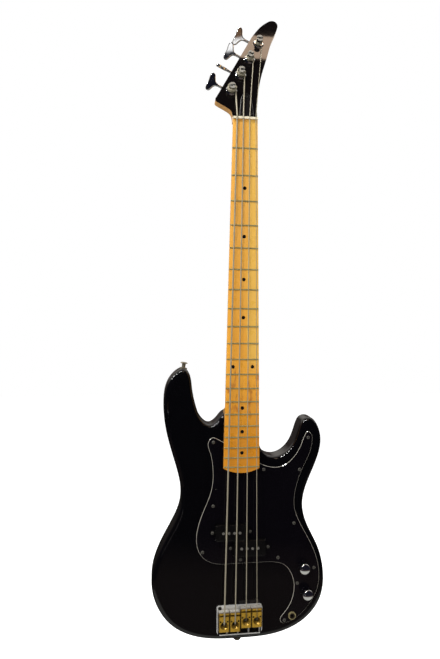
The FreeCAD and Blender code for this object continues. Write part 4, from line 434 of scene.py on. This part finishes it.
def along_board(tree, height, first, last):
    """0 at one fret and 1 at another, even between them."""
    return fade(tree, height, fret_height(first), fret_height(last))


print("octave fret at", round(fret_height(OCTAVE), 4))

# %% Stripe and wear of the fretboard
STRIPE_EDGE = (0.0050, 0.0062)
STRIPE_SHARE = 0.8
STRIPE_DRIFT = 0.002
DRIFT_RANGE = (0.3, 0.7)
DRIFT_STRETCH = (1.0, 1.0, 0.2)
WEAR_EDGE = (0.55, 0.68)
WEAR_SHARE = 0.75
WEAR_STRETCH = (1.0, 1.0, 0.45)
WEAR_END = OCTAVE + 4


def stripe_mask(tree, vector, place):
    """The paler stripe on the treble side, whose edge drifts, from the nut to the octave."""
    drift = noise(tree, stretched(tree, vector, DRIFT_STRETCH), scale=30.0)
    drift = remap(tree, drift, *DRIFT_RANGE, -STRIPE_DRIFT, STRIPE_DRIFT)
    across = maths(tree, "ADD", place["X"], drift)
    return maths(tree, "MULTIPLY", remap(tree, across, *STRIPE_EDGE, 0.0, STRIPE_SHARE),
                 along_board(tree, place["Z"], OCTAVE, OCTAVE - 1))


def wear_mask(tree, vector, place):
    """Patches that fingers have worn, from the octave to four frets past it."""
    patches = noise(tree, stretched(tree, vector, WEAR_STRETCH), scale=110.0, detail=2.0)
    played = maths(tree, "MULTIPLY", along_board(tree, place["Z"], OCTAVE - 1, OCTAVE),
                   along_board(tree, place["Z"], WEAR_END, WEAR_END - 1))
    return maths(tree, "MULTIPLY", remap(tree, patches, *WEAR_EDGE, 0.0, WEAR_SHARE), played)


print("stripe starts at", STRIPE_EDGE)

# %% Maple for the fretboard, with tones near the nut, at the octave and at the heel
BOARD_TONES = (((0.84, 0.45, 0.085), (0.74, 0.35, 0.050)),
               ((0.86, 0.41, 0.045), (0.76, 0.32, 0.025)),
               ((0.68, 0.27, 0.012), (0.56, 0.20, 0.008)))
NUT_TONE_END = 2
HEEL_TONE_START = 18
STRIPE_TONES = ((0.84, 0.52, 0.10), (0.78, 0.45, 0.07))
WEAR_COLOUR = (0.42, 0.13, 0.02)


def wood_finish(name, tone, coat):
    """Start a maple finish with its smudges; returns what the colour still needs."""
    material, tree, shader, vector = start_finish(name, tone, roughness=0.35, coat=coat,
                                                  coat_roughness=0.10)
    add_smudges(tree, shader, vector, scale=45.0, clean=0.24, dull=0.44)
    return material, tree, shader, vector


def board_maple():
    material, tree, shader, vector = wood_finish("amber_maple_board", BOARD_TONES[0][0], coat=0.45)
    place = split(tree, vector)
    nut, octave, heel, stripe = [
        use_group(tree, GRAIN, Vector=vector, Pale=opaque(pale), Deep=opaque(deep), Contrast=1.7)
        for pale, deep in (*BOARD_TONES, STRIPE_TONES)]
    to_octave = along_board(tree, place["Z"], NUT_TONE_END, OCTAVE)
    to_heel = along_board(tree, place["Z"], OCTAVE, HEEL_TONE_START)
    colour = blend_colours(tree, to_octave, nut["Color"], octave["Color"])
    colour = blend_colours(tree, to_heel, colour, heel["Color"])
    colour = blend_colours(tree, stripe_mask(tree, vector, place), colour, stripe["Color"])
    colour = blend_colours(tree, wear_mask(tree, vector, place), colour, opaque(WEAR_COLOUR))
    tree.links.new(colour, shader.inputs["Base Color"])
    add_bump(tree, shader, nut["Height"], strength=0.15, depth=0.00004)
    return material


dress(board_maple(), "fretboard")

# %% [markdown]
# ### The neck
#
# The neck is the same wood with a browner tint. It shows at the edge of the headstock and from behind,
# so one pair of tones is enough.

# %% Maple for the neck and the edge of the headstock
NECK_TONES = ((0.66, 0.38, 0.14), (0.50, 0.25, 0.07))


def neck_maple():
    material, tree, shader, vector = wood_finish("amber_maple_neck", NECK_TONES[0], coat=0.5)
    pale, deep = NECK_TONES
    grain = use_group(tree, GRAIN, Vector=vector, Pale=opaque(pale), Deep=opaque(deep), Contrast=1.8)
    tree.links.new(grain["Color"], shader.inputs["Base Color"])
    add_bump(tree, shader, grain["Height"], strength=0.15, depth=0.00004)
    return material


dress(neck_maple(), "neck")

# %% [markdown]
# ## Plated and bare metal
#
# Chrome is a mirror: what tells us that it is metal is the sharp picture of the room in it. One
# function makes every metal here. Smudges change its roughness, and hairlines cut a shallow relief
# along the way each piece is rubbed. Old plating and brass carry a thin film of tarnish that scatters
# light as paint does, so a worn metal has a Metallic value under 1: the rest behaves as that film.
# A second function paints shade over a metal, where a mask says so.

# %% Metals, and painted shade on them
EVEN = (1.0, 1.0, 1.0)
ACROSS = (0.05, 1.0, 1.0)
ALONG = (1.0, 1.0, 0.05)
TARNISH_SHARE = 0.82


def metal(name, colour, clean, dull, stretch=EVEN, film=0.0, line_depth=0.000004):
    """A metal with a roughness from clean to dull, rubbed along a stretch, under a share of film."""
    material, tree, shader, vector = start_finish(name, colour, clean, metallic=1.0 - film)
    add_smudges(tree, shader, vector, scale=160.0, clean=clean, dull=dull)
    lines = use_group(tree, HAIRLINES, Vector=vector, Stretch=stretch, Scale=1500.0)
    rubbed = blend_colours(tree, lines["Mask"], opaque(colour), opaque(colour, TARNISH_SHARE))
    tree.links.new(rubbed, shader.inputs["Base Color"])
    add_bump(tree, shader, lines["Height"], strength=0.3, depth=line_depth)
    return material


def paint_shade(material, mask, colour):
    """Paint shade in a colour over a metal; the mask is a function of the tree and of the place's X, Y and
    Z.
    """
    tree = material.node_tree
    base = tree.nodes["Principled BSDF"].inputs["Base Color"]
    place = split(tree, add_node(tree, "ShaderNodeTexCoord").outputs["Object"])
    shaded = blend_colours(tree, mask(tree, place), base.links[0].from_socket, opaque(colour))
    tree.links.new(shaded, base)
    return material


print("metals ready")

# %% [markdown]
# ### Chrome
#
# Tuners, knobs and the neck plate are bright chrome, nearly clean. The tuners mirror a small card in the
# room, so their hairlines are shallower still: a deeper relief would blur it.

# %% Chrome pieces
CHROME = (0.80, 0.80, 0.80)
dress(metal("tuner_chrome", CHROME, clean=0.02, dull=0.05, line_depth=0.000001), "tuner_key_",
      "tuner_post_", "tuner_bushings", "tuner_plates", "headstock_screws")
dress(metal("knob_chrome", CHROME, clean=0.04, dull=0.09), "volume_knob", "tone_knob")
dress(metal("plate_chrome", CHROME, clean=0.06, dull=0.18, stretch=ALONG), "neck_plate", "neck_screws")

# %% [markdown]
# ### The bridge plate
#
# The bridge plate has been rubbed dull by the heel of the hand, so it gets a film and a higher
# roughness. Painted shade darkens the well behind its saddles: below the rim, between the side walls.
# Three masks, one for each axis, are multiplied, which leaves only the places where all three are 1.

# %% Bridge plate and its screws
PLATE_LOW, PLATE_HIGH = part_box("bridge_plate")
UNDER_SADDLES = 0.004
WELL_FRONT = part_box("saddle_g")[0].z + UNDER_SADDLES
WELL_FADE = 0.001
WELL_TOP = 0.0008
SIDE_WALL = 0.0018
WALL_FADE = 0.0001
# Painted shade: the colour laid over the well behind the saddles.
WELL_SHADE = (0.012, 0.010, 0.009)


def well_mask(tree, place):
    """The well behind the saddles, where shade is painted."""
    deep = maths(tree, "GREATER_THAN", place["Y"], PLATE_LOW.y + WELL_TOP)
    inside = between(tree, place["X"], PLATE_LOW.x + SIDE_WALL, PLATE_HIGH.x - SIDE_WALL, WALL_FADE)
    back = fade(tree, place["Z"], WELL_FRONT, WELL_FRONT - WELL_FADE)
    return maths(tree, "MULTIPLY", deep, maths(tree, "MULTIPLY", inside, back))


bridge_nickel = metal("bridge_nickel", (0.72, 0.71, 0.68), clean=0.30, dull=0.46, stretch=ACROSS, film=0.55)
dress(paint_shade(bridge_nickel, well_mask, WELL_SHADE), "bridge_plate")
dress(metal("bridge_screw_steel", (0.05, 0.05, 0.045), clean=0.28, dull=0.40, film=0.5), "bridge_screws")

# %% [markdown]
# ### Saddles
#
# The saddles are cut from brass that has gone dark gold. Painted shade darkens their faces near the
# seams between them. The seams lie at even steps across the bridge, so a Ping-Pong node, which counts
# up and down again, gives each point its distance from the nearest one.

# %% Brass of the saddles
SADDLE_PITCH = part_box("saddle_a")[0].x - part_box("saddle_e")[0].x
SEAM_EDGE = (0.0006, 0.0024)
SEAM_SHARE = 0.95
# Painted shade: the colour laid near the seams between the saddles.
SEAM_SHADE = (0.045, 0.025, 0.006)


def seam_mask(tree, place):
    """Full at the seams between the saddles, and gone a little way in."""
    from_seam = maths(tree, "PINGPONG", place["X"], SADDLE_PITCH / 2)
    return remap(tree, from_seam, *SEAM_EDGE, SEAM_SHARE, 0.0)


saddle_brass = metal("saddle_brass", (0.50, 0.295, 0.03), clean=0.20, dull=0.34, stretch=ACROSS, film=0.55)
dress(paint_shade(saddle_brass, seam_mask, SEAM_SHADE), "saddle_")

# %% [markdown]
# ### Nickel and steel
#
# The frets, jack and strap buttons are nickel that has yellowed; the small screws and the poles are
# plain steel. They differ only in a few numbers, so those stand in a table.

# %% Nickel and steel pieces: name, colour, roughness clean and dull, film, pieces
SMALL_METALS = (
    ("gear_brass", (0.68, 0.48, 0.20), 0.22, 0.40, 0.0, ["tuner_gear_"]),
    ("jack_nickel", (0.40, 0.34, 0.17), 0.16, 0.30, 0.45, ["output_jack"]),
    ("strap_nickel", (0.34, 0.30, 0.22), 0.14, 0.32, 0.3, ["strap_buttons", "strap_screws"]),
    ("screw_nickel", (0.11, 0.105, 0.09), 0.18, 0.34, 0.5, ["pickguard_screws", "pickup_screws"]),
    ("pole_steel", (0.20, 0.19, 0.17), 0.22, 0.38, 0.6, ["pole_pieces"]),
    ("adjusting_steel", (0.10, 0.09, 0.08), 0.25, 0.42, 0.4,
     ["height_screws_", "truss_rod", "volume_shaft", "tone_shaft"]),
    ("intonation_steel", (0.36, 0.35, 0.32), 0.20, 0.34, 0.5, ["intonation_screw_"]),
    ("pot_steel", (0.50, 0.49, 0.46), 0.25, 0.45, 0.0, ["potentiometers"]),
)
for title, colour, clean, dull, film, pieces in SMALL_METALS:
    dress(metal(title, colour, clean, dull, film=film), *pieces)
dress(metal("fret_nickel", (0.34, 0.30, 0.13), clean=0.32, dull=0.45, stretch=ACROSS, film=0.65), "frets")

# %% [markdown]
# ### Strings
#
# The strings are wound with nickel that has dulled, so their film is thick. Their hairlines run along
# them. Painted shade darkens the ends, where the saddles shade them: on the bass side in the bowls of
# the saddles, on the treble side from the fronts of the saddles on.

# %% Strings
ALONG_STRING = (1.0, 1.0, 0.02)
BOWL_FROM_FRONT = 0.0165
SHADE_FROM_FRONT = 0.0020
BASS_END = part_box("saddle_e")[1].z - BOWL_FROM_FRONT
TREBLE_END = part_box("saddle_g")[1].z - SHADE_FROM_FRONT
END_FADE = 0.0010
END_SHARE = 0.9
# Painted shade: the colour laid over the ends of the strings.
STRING_SHADE = (0.075, 0.050, 0.015)


def string_end_mask(tree, place):
    """The ends of the strings, where shade is painted, which start further back on the bass side."""
    treble = maths(tree, "GREATER_THAN", place["X"], 0.0)
    end = remap(tree, treble, 0.0, 1.0, BASS_END, TREBLE_END)
    past_end = maths(tree, "SUBTRACT", end, place["Z"])
    return remap(tree, past_end, 0.0, END_FADE, 0.0, END_SHARE)


string_nickel = metal("string_nickel", (0.32, 0.285, 0.205), clean=0.42, dull=0.55, stretch=ALONG_STRING,
                      film=0.75)
dress(paint_shade(string_nickel, string_end_mask, STRING_SHADE), "string_")

# %% [markdown]
# ### More than one finish on a piece
#
# A saddle is dull gold outside, with painted shade in its groove and bowl. Its front has painted shade at
# the top edge and, near the plate, a pale painted reflection of the plate's light. Cutting it into three
# would be wrong: it is one piece. Each polygon of a mesh carries the number of a material slot, so we add
# a slot and choose polygons by their place. The heads of the intonation screws, behind the plate, are dark.


# %% Add a finish to some polygons
def add_finish(name, material, chosen):
    """Add a material to a piece, for the polygons for which a test says yes."""
    mesh = NODES[name].data
    mesh.materials.append(material)
    for polygon in mesh.polygons:
        if chosen(polygon):
            polygon.material_index = len(mesh.materials) - 1


print("second finishes ready")

# %% Front of a saddle: painted shade at the top edge, painted reflection of the plate near it
# Painted shade at the top edge of the front, then a pale painted reflection of the plate below it.
FRONT_TONES = ((0.20, 0.13, 0.06), (0.66, 0.63, 0.56))
FRONT_DEPTHS = (-0.0145, -0.0100)


def front_brass():
    # worn holds the painted shade at the top edge, pale the painted reflection of the plate.
    worn, pale = FRONT_TONES
    material = metal("front_brass", worn, clean=0.26, dull=0.36, film=0.5)
    tree = material.node_tree
    place = split(tree, add_node(tree, "ShaderNodeTexCoord").outputs["Object"])
    colour = blend_colours(tree, fade(tree, place["Y"], *FRONT_DEPTHS), opaque(worn), opaque(pale))
    tree.links.new(colour, tree.nodes["Principled BSDF"].inputs["Base Color"])
    return material


saddle_front = front_brass()
print("finish:", saddle_front.name)

# %% Hollows and fronts of the saddles, heads of the intonation screws
SKIN = 0.0003
STRINGS = "eadg"
# Painted shade: the groove and bowl of each saddle take this darker brass.
hollow_shade_brass = metal("hollow_shade_brass", (0.32, 0.19, 0.03), clean=0.28, dull=0.40, film=0.3)
dark_steel = metal("dark_steel", (0.02, 0.02, 0.02), clean=0.25, dull=0.40, film=0.5)
for string in STRINGS:
    low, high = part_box("saddle_" + string)
    add_finish("saddle_" + string, hollow_shade_brass,
               lambda polygon: all(low[axis] + SKIN < polygon.center[axis] < high[axis] - SKIN
                                   for axis in range(3)))
    add_finish("saddle_" + string, saddle_front, lambda polygon: polygon.center.z > high.z - SKIN)
    add_finish("intonation_screw_" + string, dark_steel, lambda polygon: polygon.center.z < PLATE_LOW.z)
print("saddle slots:", len(NODES["saddle_e"].data.materials))

# %% [markdown]
# ### The jack's bore
#
# The jack's nut and washer are nickel, and the sleeve inside the bore is darkened with painted shade.
# All of the sleeve lies close to the jack's axis, so the distance from the axis tells it apart.

# %% Painted shade in the sleeve of the jack
JACK_LOW, JACK_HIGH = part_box("output_jack")
JACK_AXIS = (JACK_LOW + JACK_HIGH).xz / 2
SLEEVE_RADIUS = 0.0049
# Painted shade: the dark colour of the sleeve inside the bore.
jack_brown = metal("jack_brown", (0.030, 0.022, 0.015), clean=0.20, dull=0.35, film=0.5)
add_finish("output_jack", jack_brown,
           lambda polygon: (polygon.center.xz - JACK_AXIS).length < SLEEVE_RADIUS)
print("jack slots:", len(NODES["output_jack"].data.materials))

# %% [markdown]
# ## Layered plastic
#
# The pickguard is cut from a sheet of three layers, black over white over black, and its edge is
# bevelled so that the white shows as a thin line all round. Painting the line as a stripe would need
# its outline again; asking each point for its height above the body gives the line for nothing,
# wherever the bevel is.

# %% Layered plastic of the pickguard
GUARD_BACK = -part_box("pickguard")[1].y
WHITE_LAYER = (0.00135, 0.00190)
OUTWARDS = (0.0, -1.0, 0.0)


def layered_plastic(name, direction, layer, colour, line_colour):
    """A black sheet with a pale layer between two heights along a direction."""
    material, tree, shader, vector = start_finish(name, colour, roughness=0.1)
    low, high = layer
    line = use_group(tree, LAYER_LINE, Vector=vector, Direction=direction, Low=low, High=high)
    black = mottled(tree, vector, scale=30.0, detail=3.0, colour=colour, share=0.75)
    layers = blend_colours(tree, line["Mask"], black, opaque(line_colour))
    tree.links.new(layers, shader.inputs["Base Color"])
    add_smudges(tree, shader, vector, scale=26.0, clean=0.03, dull=0.06)
    add_waves(tree, shader, vector, scale=90.0, strength=0.2, depth=0.00002)
    return material


dress(layered_plastic("guard_laminate", OUTWARDS, [GUARD_BACK + height for height in WHITE_LAYER],
                      colour=(0.0025, 0.002, 0.003), line_colour=(0.34, 0.32, 0.27)), "pickguard")

# %% [markdown]
# ### The headstock's cover and posts
#
# The truss rod cover on the headstock is cut from such a sheet too, but the headstock leans back, so
# heights are taken along its own normal. The same normal finds two more things: the cover's screws,
# which are dark, are the screws that stand above the face, and the tops of the tuner posts, which are
# turned and not polished, are the polygons that face that way.

# %% Truss rod cover
HEAD_TILT = math.radians(12)
HEAD_NORMAL = Vector((0.0, -math.cos(HEAD_TILT), math.sin(HEAD_TILT)))
COVER_LAYER_SHARES = (0.40, 0.72)


def reach(name, direction):
    """How low and how high a piece reaches along a direction."""
    heights = [vertex.co.dot(direction) for vertex in NODES[name].data.vertices]
    return min(heights), max(heights)


COVER_LOW, COVER_HIGH = reach("truss_rod_cover", HEAD_NORMAL)
dress(layered_plastic("cover_laminate", HEAD_NORMAL,
                      [COVER_LOW + share * (COVER_HIGH - COVER_LOW) for share in COVER_LAYER_SHARES],
                      colour=(0.010, 0.009, 0.009), line_colour=(0.30, 0.30, 0.29)), "truss_rod_cover")
print("cover from", round(COVER_LOW, 5), "to", round(COVER_HIGH, 5))

# %% Cover screws and tops of the tuner posts
FACING_COSINE = 0.9
add_finish("headstock_screws", dark_steel, lambda polygon: polygon.center.dot(HEAD_NORMAL) > COVER_LOW)
post_top = metal("post_top", (0.36, 0.36, 0.33), clean=0.40, dull=0.50, film=0.3)
for string in STRINGS:
    add_finish("tuner_post_" + string, post_top,
               lambda polygon: polygon.normal.dot(HEAD_NORMAL) > FACING_COSINE)
print("post slots:", len(NODES["tuner_post_e"].data.materials))

# %% [markdown]
# ## Plain plastics, bone and the inside
#
# The rest are small: satin pickup covers, black dots, a cream nut, and the parts under the guard. Each
# still has its own roughness pattern and tone, so that none is one flat colour.

# %% Plastics and the parts under the guard: name, colour, roughness clean and dull, scale, relief, piece
FAINT = 0.00001
WAVES_PER_PATCH = 8.0
PLASTICS = (
    ("pickup_black", (0.003, 0.0028, 0.0028), 0.14, 0.22, 120.0, FAINT, "pickup_covers"),
    ("dot_black", (0.008, 0.008, 0.008), 0.15, 0.25, 120.0, FAINT, "position_dots"),
    ("nut_cream", (0.80, 0.72, 0.52), 0.22, 0.40, 300.0, FAINT, "nut"),
    ("coil_copper", (0.30, 0.11, 0.05), 0.30, 0.45, 900.0, 0.00006, "pickup_coils"),
    ("capacitor_film", (0.42, 0.13, 0.03), 0.25, 0.40, 200.0, FAINT, "tone_capacitor"),
    ("wire_cloth", (0.03, 0.03, 0.03), 0.55, 0.75, 900.0, 0.00004, "wiring"),
)


def plastic(name, colour, clean, dull, scale, relief):
    material, tree, shader, vector = start_finish(name, colour, clean)
    tone = mottled(tree, vector, scale, detail=3.0, colour=colour, share=0.72)
    tree.links.new(tone, shader.inputs["Base Color"])
    add_smudges(tree, shader, vector, scale, clean, dull)
    add_waves(tree, shader, vector, scale * WAVES_PER_PATCH, strength=0.3, depth=relief)
    return material


for *values, piece in PLASTICS:
    dress(plastic(*values), piece)

# %% [markdown]
# ## The studio
#
# The bass hangs in front of a white sweep, and the room in front of it is dark: that is what makes
# black lacquer look black and chrome look like chrome. The world does this with the Light Path node. A
# camera ray finds plain white. A mirror ray that goes on past the bass finds the sweep, pale above and
# dark below. One that comes back finds darkness above, a dim brown wall low down, a pale floor under
# it, and a white card with a brown edge, which brightens the tuner keys. Every other ray finds an even
# soft light. Real walls and cards could be modelled instead, but they would throw shadows.

# %% What a mirror sees: edges and heights are parts of a direction of length 1
ROOM_UPPER = (0.008, 0.008, 0.014)
ROOM_LOWER = (0.085, 0.066, 0.060)
ROOM_FLOOR = (0.50, 0.50, 0.46)
LOWER_EDGE = (-0.40, -0.46)
FLOOR_EDGE = (-0.55, -0.58)
CARD_WHITE = (1.25, 1.25, 1.25)
CARD_BROWN = (0.16, 0.09, 0.05)
CARD_ACROSS = (-0.52, -0.28)
CARD_HEIGHTS = (-0.213, -0.196, -0.150)
CARD_SIDE_FADE = 0.01
CARD_FADE = 0.004
SWEEP_DARK = (0.020, 0.018, 0.016)
SWEEP_DIM = (0.12, 0.10, 0.09)
SWEEP_PALE = (0.90, 0.86, 0.80)
DIM_EDGE = (-0.25, 0.05)
PALE_EDGE = (0.20, 0.40)
SWEEP_EDGE = (-0.05, 0.10)


def mirrored_room(tree):
    """What a mirror sees in each direction: the dark room, the card, and the sweep behind the bass."""
    towards = split(tree, add_node(tree, "ShaderNodeTexCoord").outputs["Generated"])
    height = towards["Z"]
    room = blend_colours(tree, fade(tree, height, *LOWER_EDGE), opaque(ROOM_UPPER), opaque(ROOM_LOWER))
    room = blend_colours(tree, fade(tree, height, *FLOOR_EDGE), room, opaque(ROOM_FLOOR))
    across = between(tree, towards["X"], *CARD_ACROSS, CARD_SIDE_FADE)
    low, middle, high = CARD_HEIGHTS
    for colour, bottom, top in ((CARD_WHITE, low, middle), (CARD_BROWN, middle, high)):
        shown = maths(tree, "MULTIPLY", across, between(tree, height, bottom, top, CARD_FADE))
        room = blend_colours(tree, shown, room, opaque(colour))
    sweep = blend_colours(tree, fade(tree, height, *DIM_EDGE), opaque(SWEEP_DARK), opaque(SWEEP_DIM))
    sweep = blend_colours(tree, fade(tree, height, *PALE_EDGE), sweep, opaque(SWEEP_PALE))
    return blend_colours(tree, fade(tree, towards["Y"], *SWEEP_EDGE), room, sweep)


print("card from", CARD_HEIGHTS[0], "to", CARD_HEIGHTS[-1])

# %% World
WHITE = (1.0, 1.0, 1.0)
ROOM_LIGHT = 0.45


def background(tree, colour, strength=1.0):
    """One Background shader; returns its output socket."""
    return add_node(tree, "ShaderNodeBackground", {"Color": colour, "Strength": strength}).outputs[0]


def seen_by_camera(tree, rays):
    """1 for the rays that show a thing to the camera, straight or through glass."""
    return maths(tree, "ADD", rays["Is Camera Ray"], rays["Is Transmission Ray"], clamp=True)


def make_world():
    world = bpy.data.worlds.new("studio_world")
    bpy.context.scene.world = world
    world.use_nodes = True
    tree = world.node_tree
    tree.nodes.clear()
    rays = add_node(tree, "ShaderNodeLightPath").outputs
    soft = background(tree, opaque(WHITE), ROOM_LIGHT)
    mirror = background(tree, mirrored_room(tree))
    white = background(tree, opaque(WHITE))
    light = add_node(tree, "ShaderNodeMixShader", {0: rays["Is Glossy Ray"], 1: soft, 2: mirror}).outputs[0]
    seen = seen_by_camera(tree, rays)
    both = add_node(tree, "ShaderNodeMixShader", {0: seen, 1: light, 2: white}).outputs[0]
    add_node(tree, "ShaderNodeOutputWorld", {"Surface": both})


make_world()
print("world:", bpy.context.scene.world.name)

# %% [markdown]
# ## Lamps
#
# A row of small ceiling lamps on the left makes the strings of white dots along the rounded edges: each
# dot is the picture of one lamp. Small lamps alone would give hard shadows, so three large soft boxes
# fill them in. The boxes would show in the lacquer as broad pale shapes, so they are hidden from mirror
# rays. A warm strip over the headstock lies where its tilted face mirrors it.


# %% One lamp
def lamp(name, place, aim, size, power, colour=WHITE, mirrored=True):
    """An area lamp of a width and height that looks from a place to a point, hidden from the camera."""
    data = bpy.data.lights.new(name, "AREA")
    data.shape = "RECTANGLE"
    data.size, data.size_y = size
    data.energy = power
    data.color = colour
    item = bpy.data.objects.new(name, data)
    bpy.context.scene.collection.objects.link(item)
    item.location = place
    item.rotation_mode = "QUATERNION"
    item.rotation_quaternion = (Vector(aim) - Vector(place)).to_track_quat("-Z", "Y")
    item.visible_camera = False
    item.visible_glossy = mirrored


print("lamps ready")

# %% Ceiling lamps, soft boxes (name, place, side, watts) and the strip over the headstock
CENTRE = (CAD_LOW + CAD_HIGH) / 2
CEILING_ROW = (-3.6, -2.7, -2.0, -1.45, -0.95, -0.5)
CEILING_DEPTH = -0.9
CEILING_HEIGHT = 1.6
CEILING_SIDE = 0.17
CEILING_POWER = 11.0
SOFT_BOXES = (("key_box", (-1.5, -1.5, 0.9), 1.0, 26.0),
              ("fill_box", (1.2, -1.8, 0.2), 1.2, 8.0),
              ("back_box", (0.3, 1.8, 0.4), 1.6, 20.0))
STRIP_PLACE = Vector((0.25, -0.712, 1.07))
STRIP_SIZE = (0.5, 0.096)
STRIP_POWER = 1.2
STRIP_COLOUR = (1.0, 0.72, 0.52)
DOWN = Vector((0.0, 0.0, -1.0))

for number, across in enumerate(CEILING_ROW):
    lamp(f"ceiling_lamp_{number}", (across, CEILING_DEPTH, CEILING_HEIGHT), CENTRE,
         (CEILING_SIDE, CEILING_SIDE), CEILING_POWER)
for title, place, side, power in SOFT_BOXES:
    lamp(title, place, CENTRE, (side, side), power, mirrored=False)
lamp("head_strip", STRIP_PLACE, STRIP_PLACE + DOWN, STRIP_SIZE, STRIP_POWER, STRIP_COLOUR)

# %% [markdown]
# ## The floor
#
# The floor lies well below the bass, and mirror rays pass through it, because the world already shows
# them a floor. It glows a little for camera rays, which lifts its lit part to white; where the bass
# keeps the lamps off, it stays a little darker, and that is the shadow.

# %% Pale material of the floor
FLOOR_TONES = ((0.80, 0.80, 0.80), (0.82, 0.82, 0.82))
FLOOR_GLOW = 0.72


def pale_floor():
    material = bpy.data.materials.new("pale_floor")
    material.use_nodes = True
    tree = material.node_tree
    tree.nodes.clear()
    rays = add_node(tree, "ShaderNodeLightPath").outputs
    shown = maths(tree, "MULTIPLY", seen_by_camera(tree, rays), FLOOR_GLOW)
    vector = add_node(tree, "ShaderNodeTexCoord").outputs["Object"]
    first, second = FLOOR_TONES
    tone = blend_colours(tree, noise(tree, vector, scale=3.0, detail=2.0), opaque(first), opaque(second))
    matt = add_node(tree, "ShaderNodeBsdfDiffuse", {"Color": tone}).outputs[0]
    glow = add_node(tree, "ShaderNodeEmission", {"Strength": shown}).outputs[0]
    both = add_node(tree, "ShaderNodeAddShader", {0: matt, 1: glow}).outputs[0]
    add_node(tree, "ShaderNodeOutputMaterial", {"Surface": both})
    return material


print("floor glow:", FLOOR_GLOW)

# %% Floor
FLOOR_DROP = 0.50
FLOOR_FRONT = -0.72
FLOOR_BACK = 6.0
FLOOR_HALF = 5.0


def make_floor(height):
    mesh = bpy.data.meshes.new("floor")
    corners = [(-FLOOR_HALF, FLOOR_FRONT, height), (FLOOR_HALF, FLOOR_FRONT, height),
               (FLOOR_HALF, FLOOR_BACK, height), (-FLOOR_HALF, FLOOR_BACK, height)]
    mesh.from_pydata(corners, [], [(0, 1, 2, 3)])
    floor = bpy.data.objects.new("floor", mesh)
    bpy.context.scene.collection.objects.link(floor)
    mesh.materials.append(pale_floor())
    floor.visible_glossy = False


make_floor(CAD_LOW.z - FLOOR_DROP)
print("floor at", round(CAD_LOW.z - FLOOR_DROP, 3))
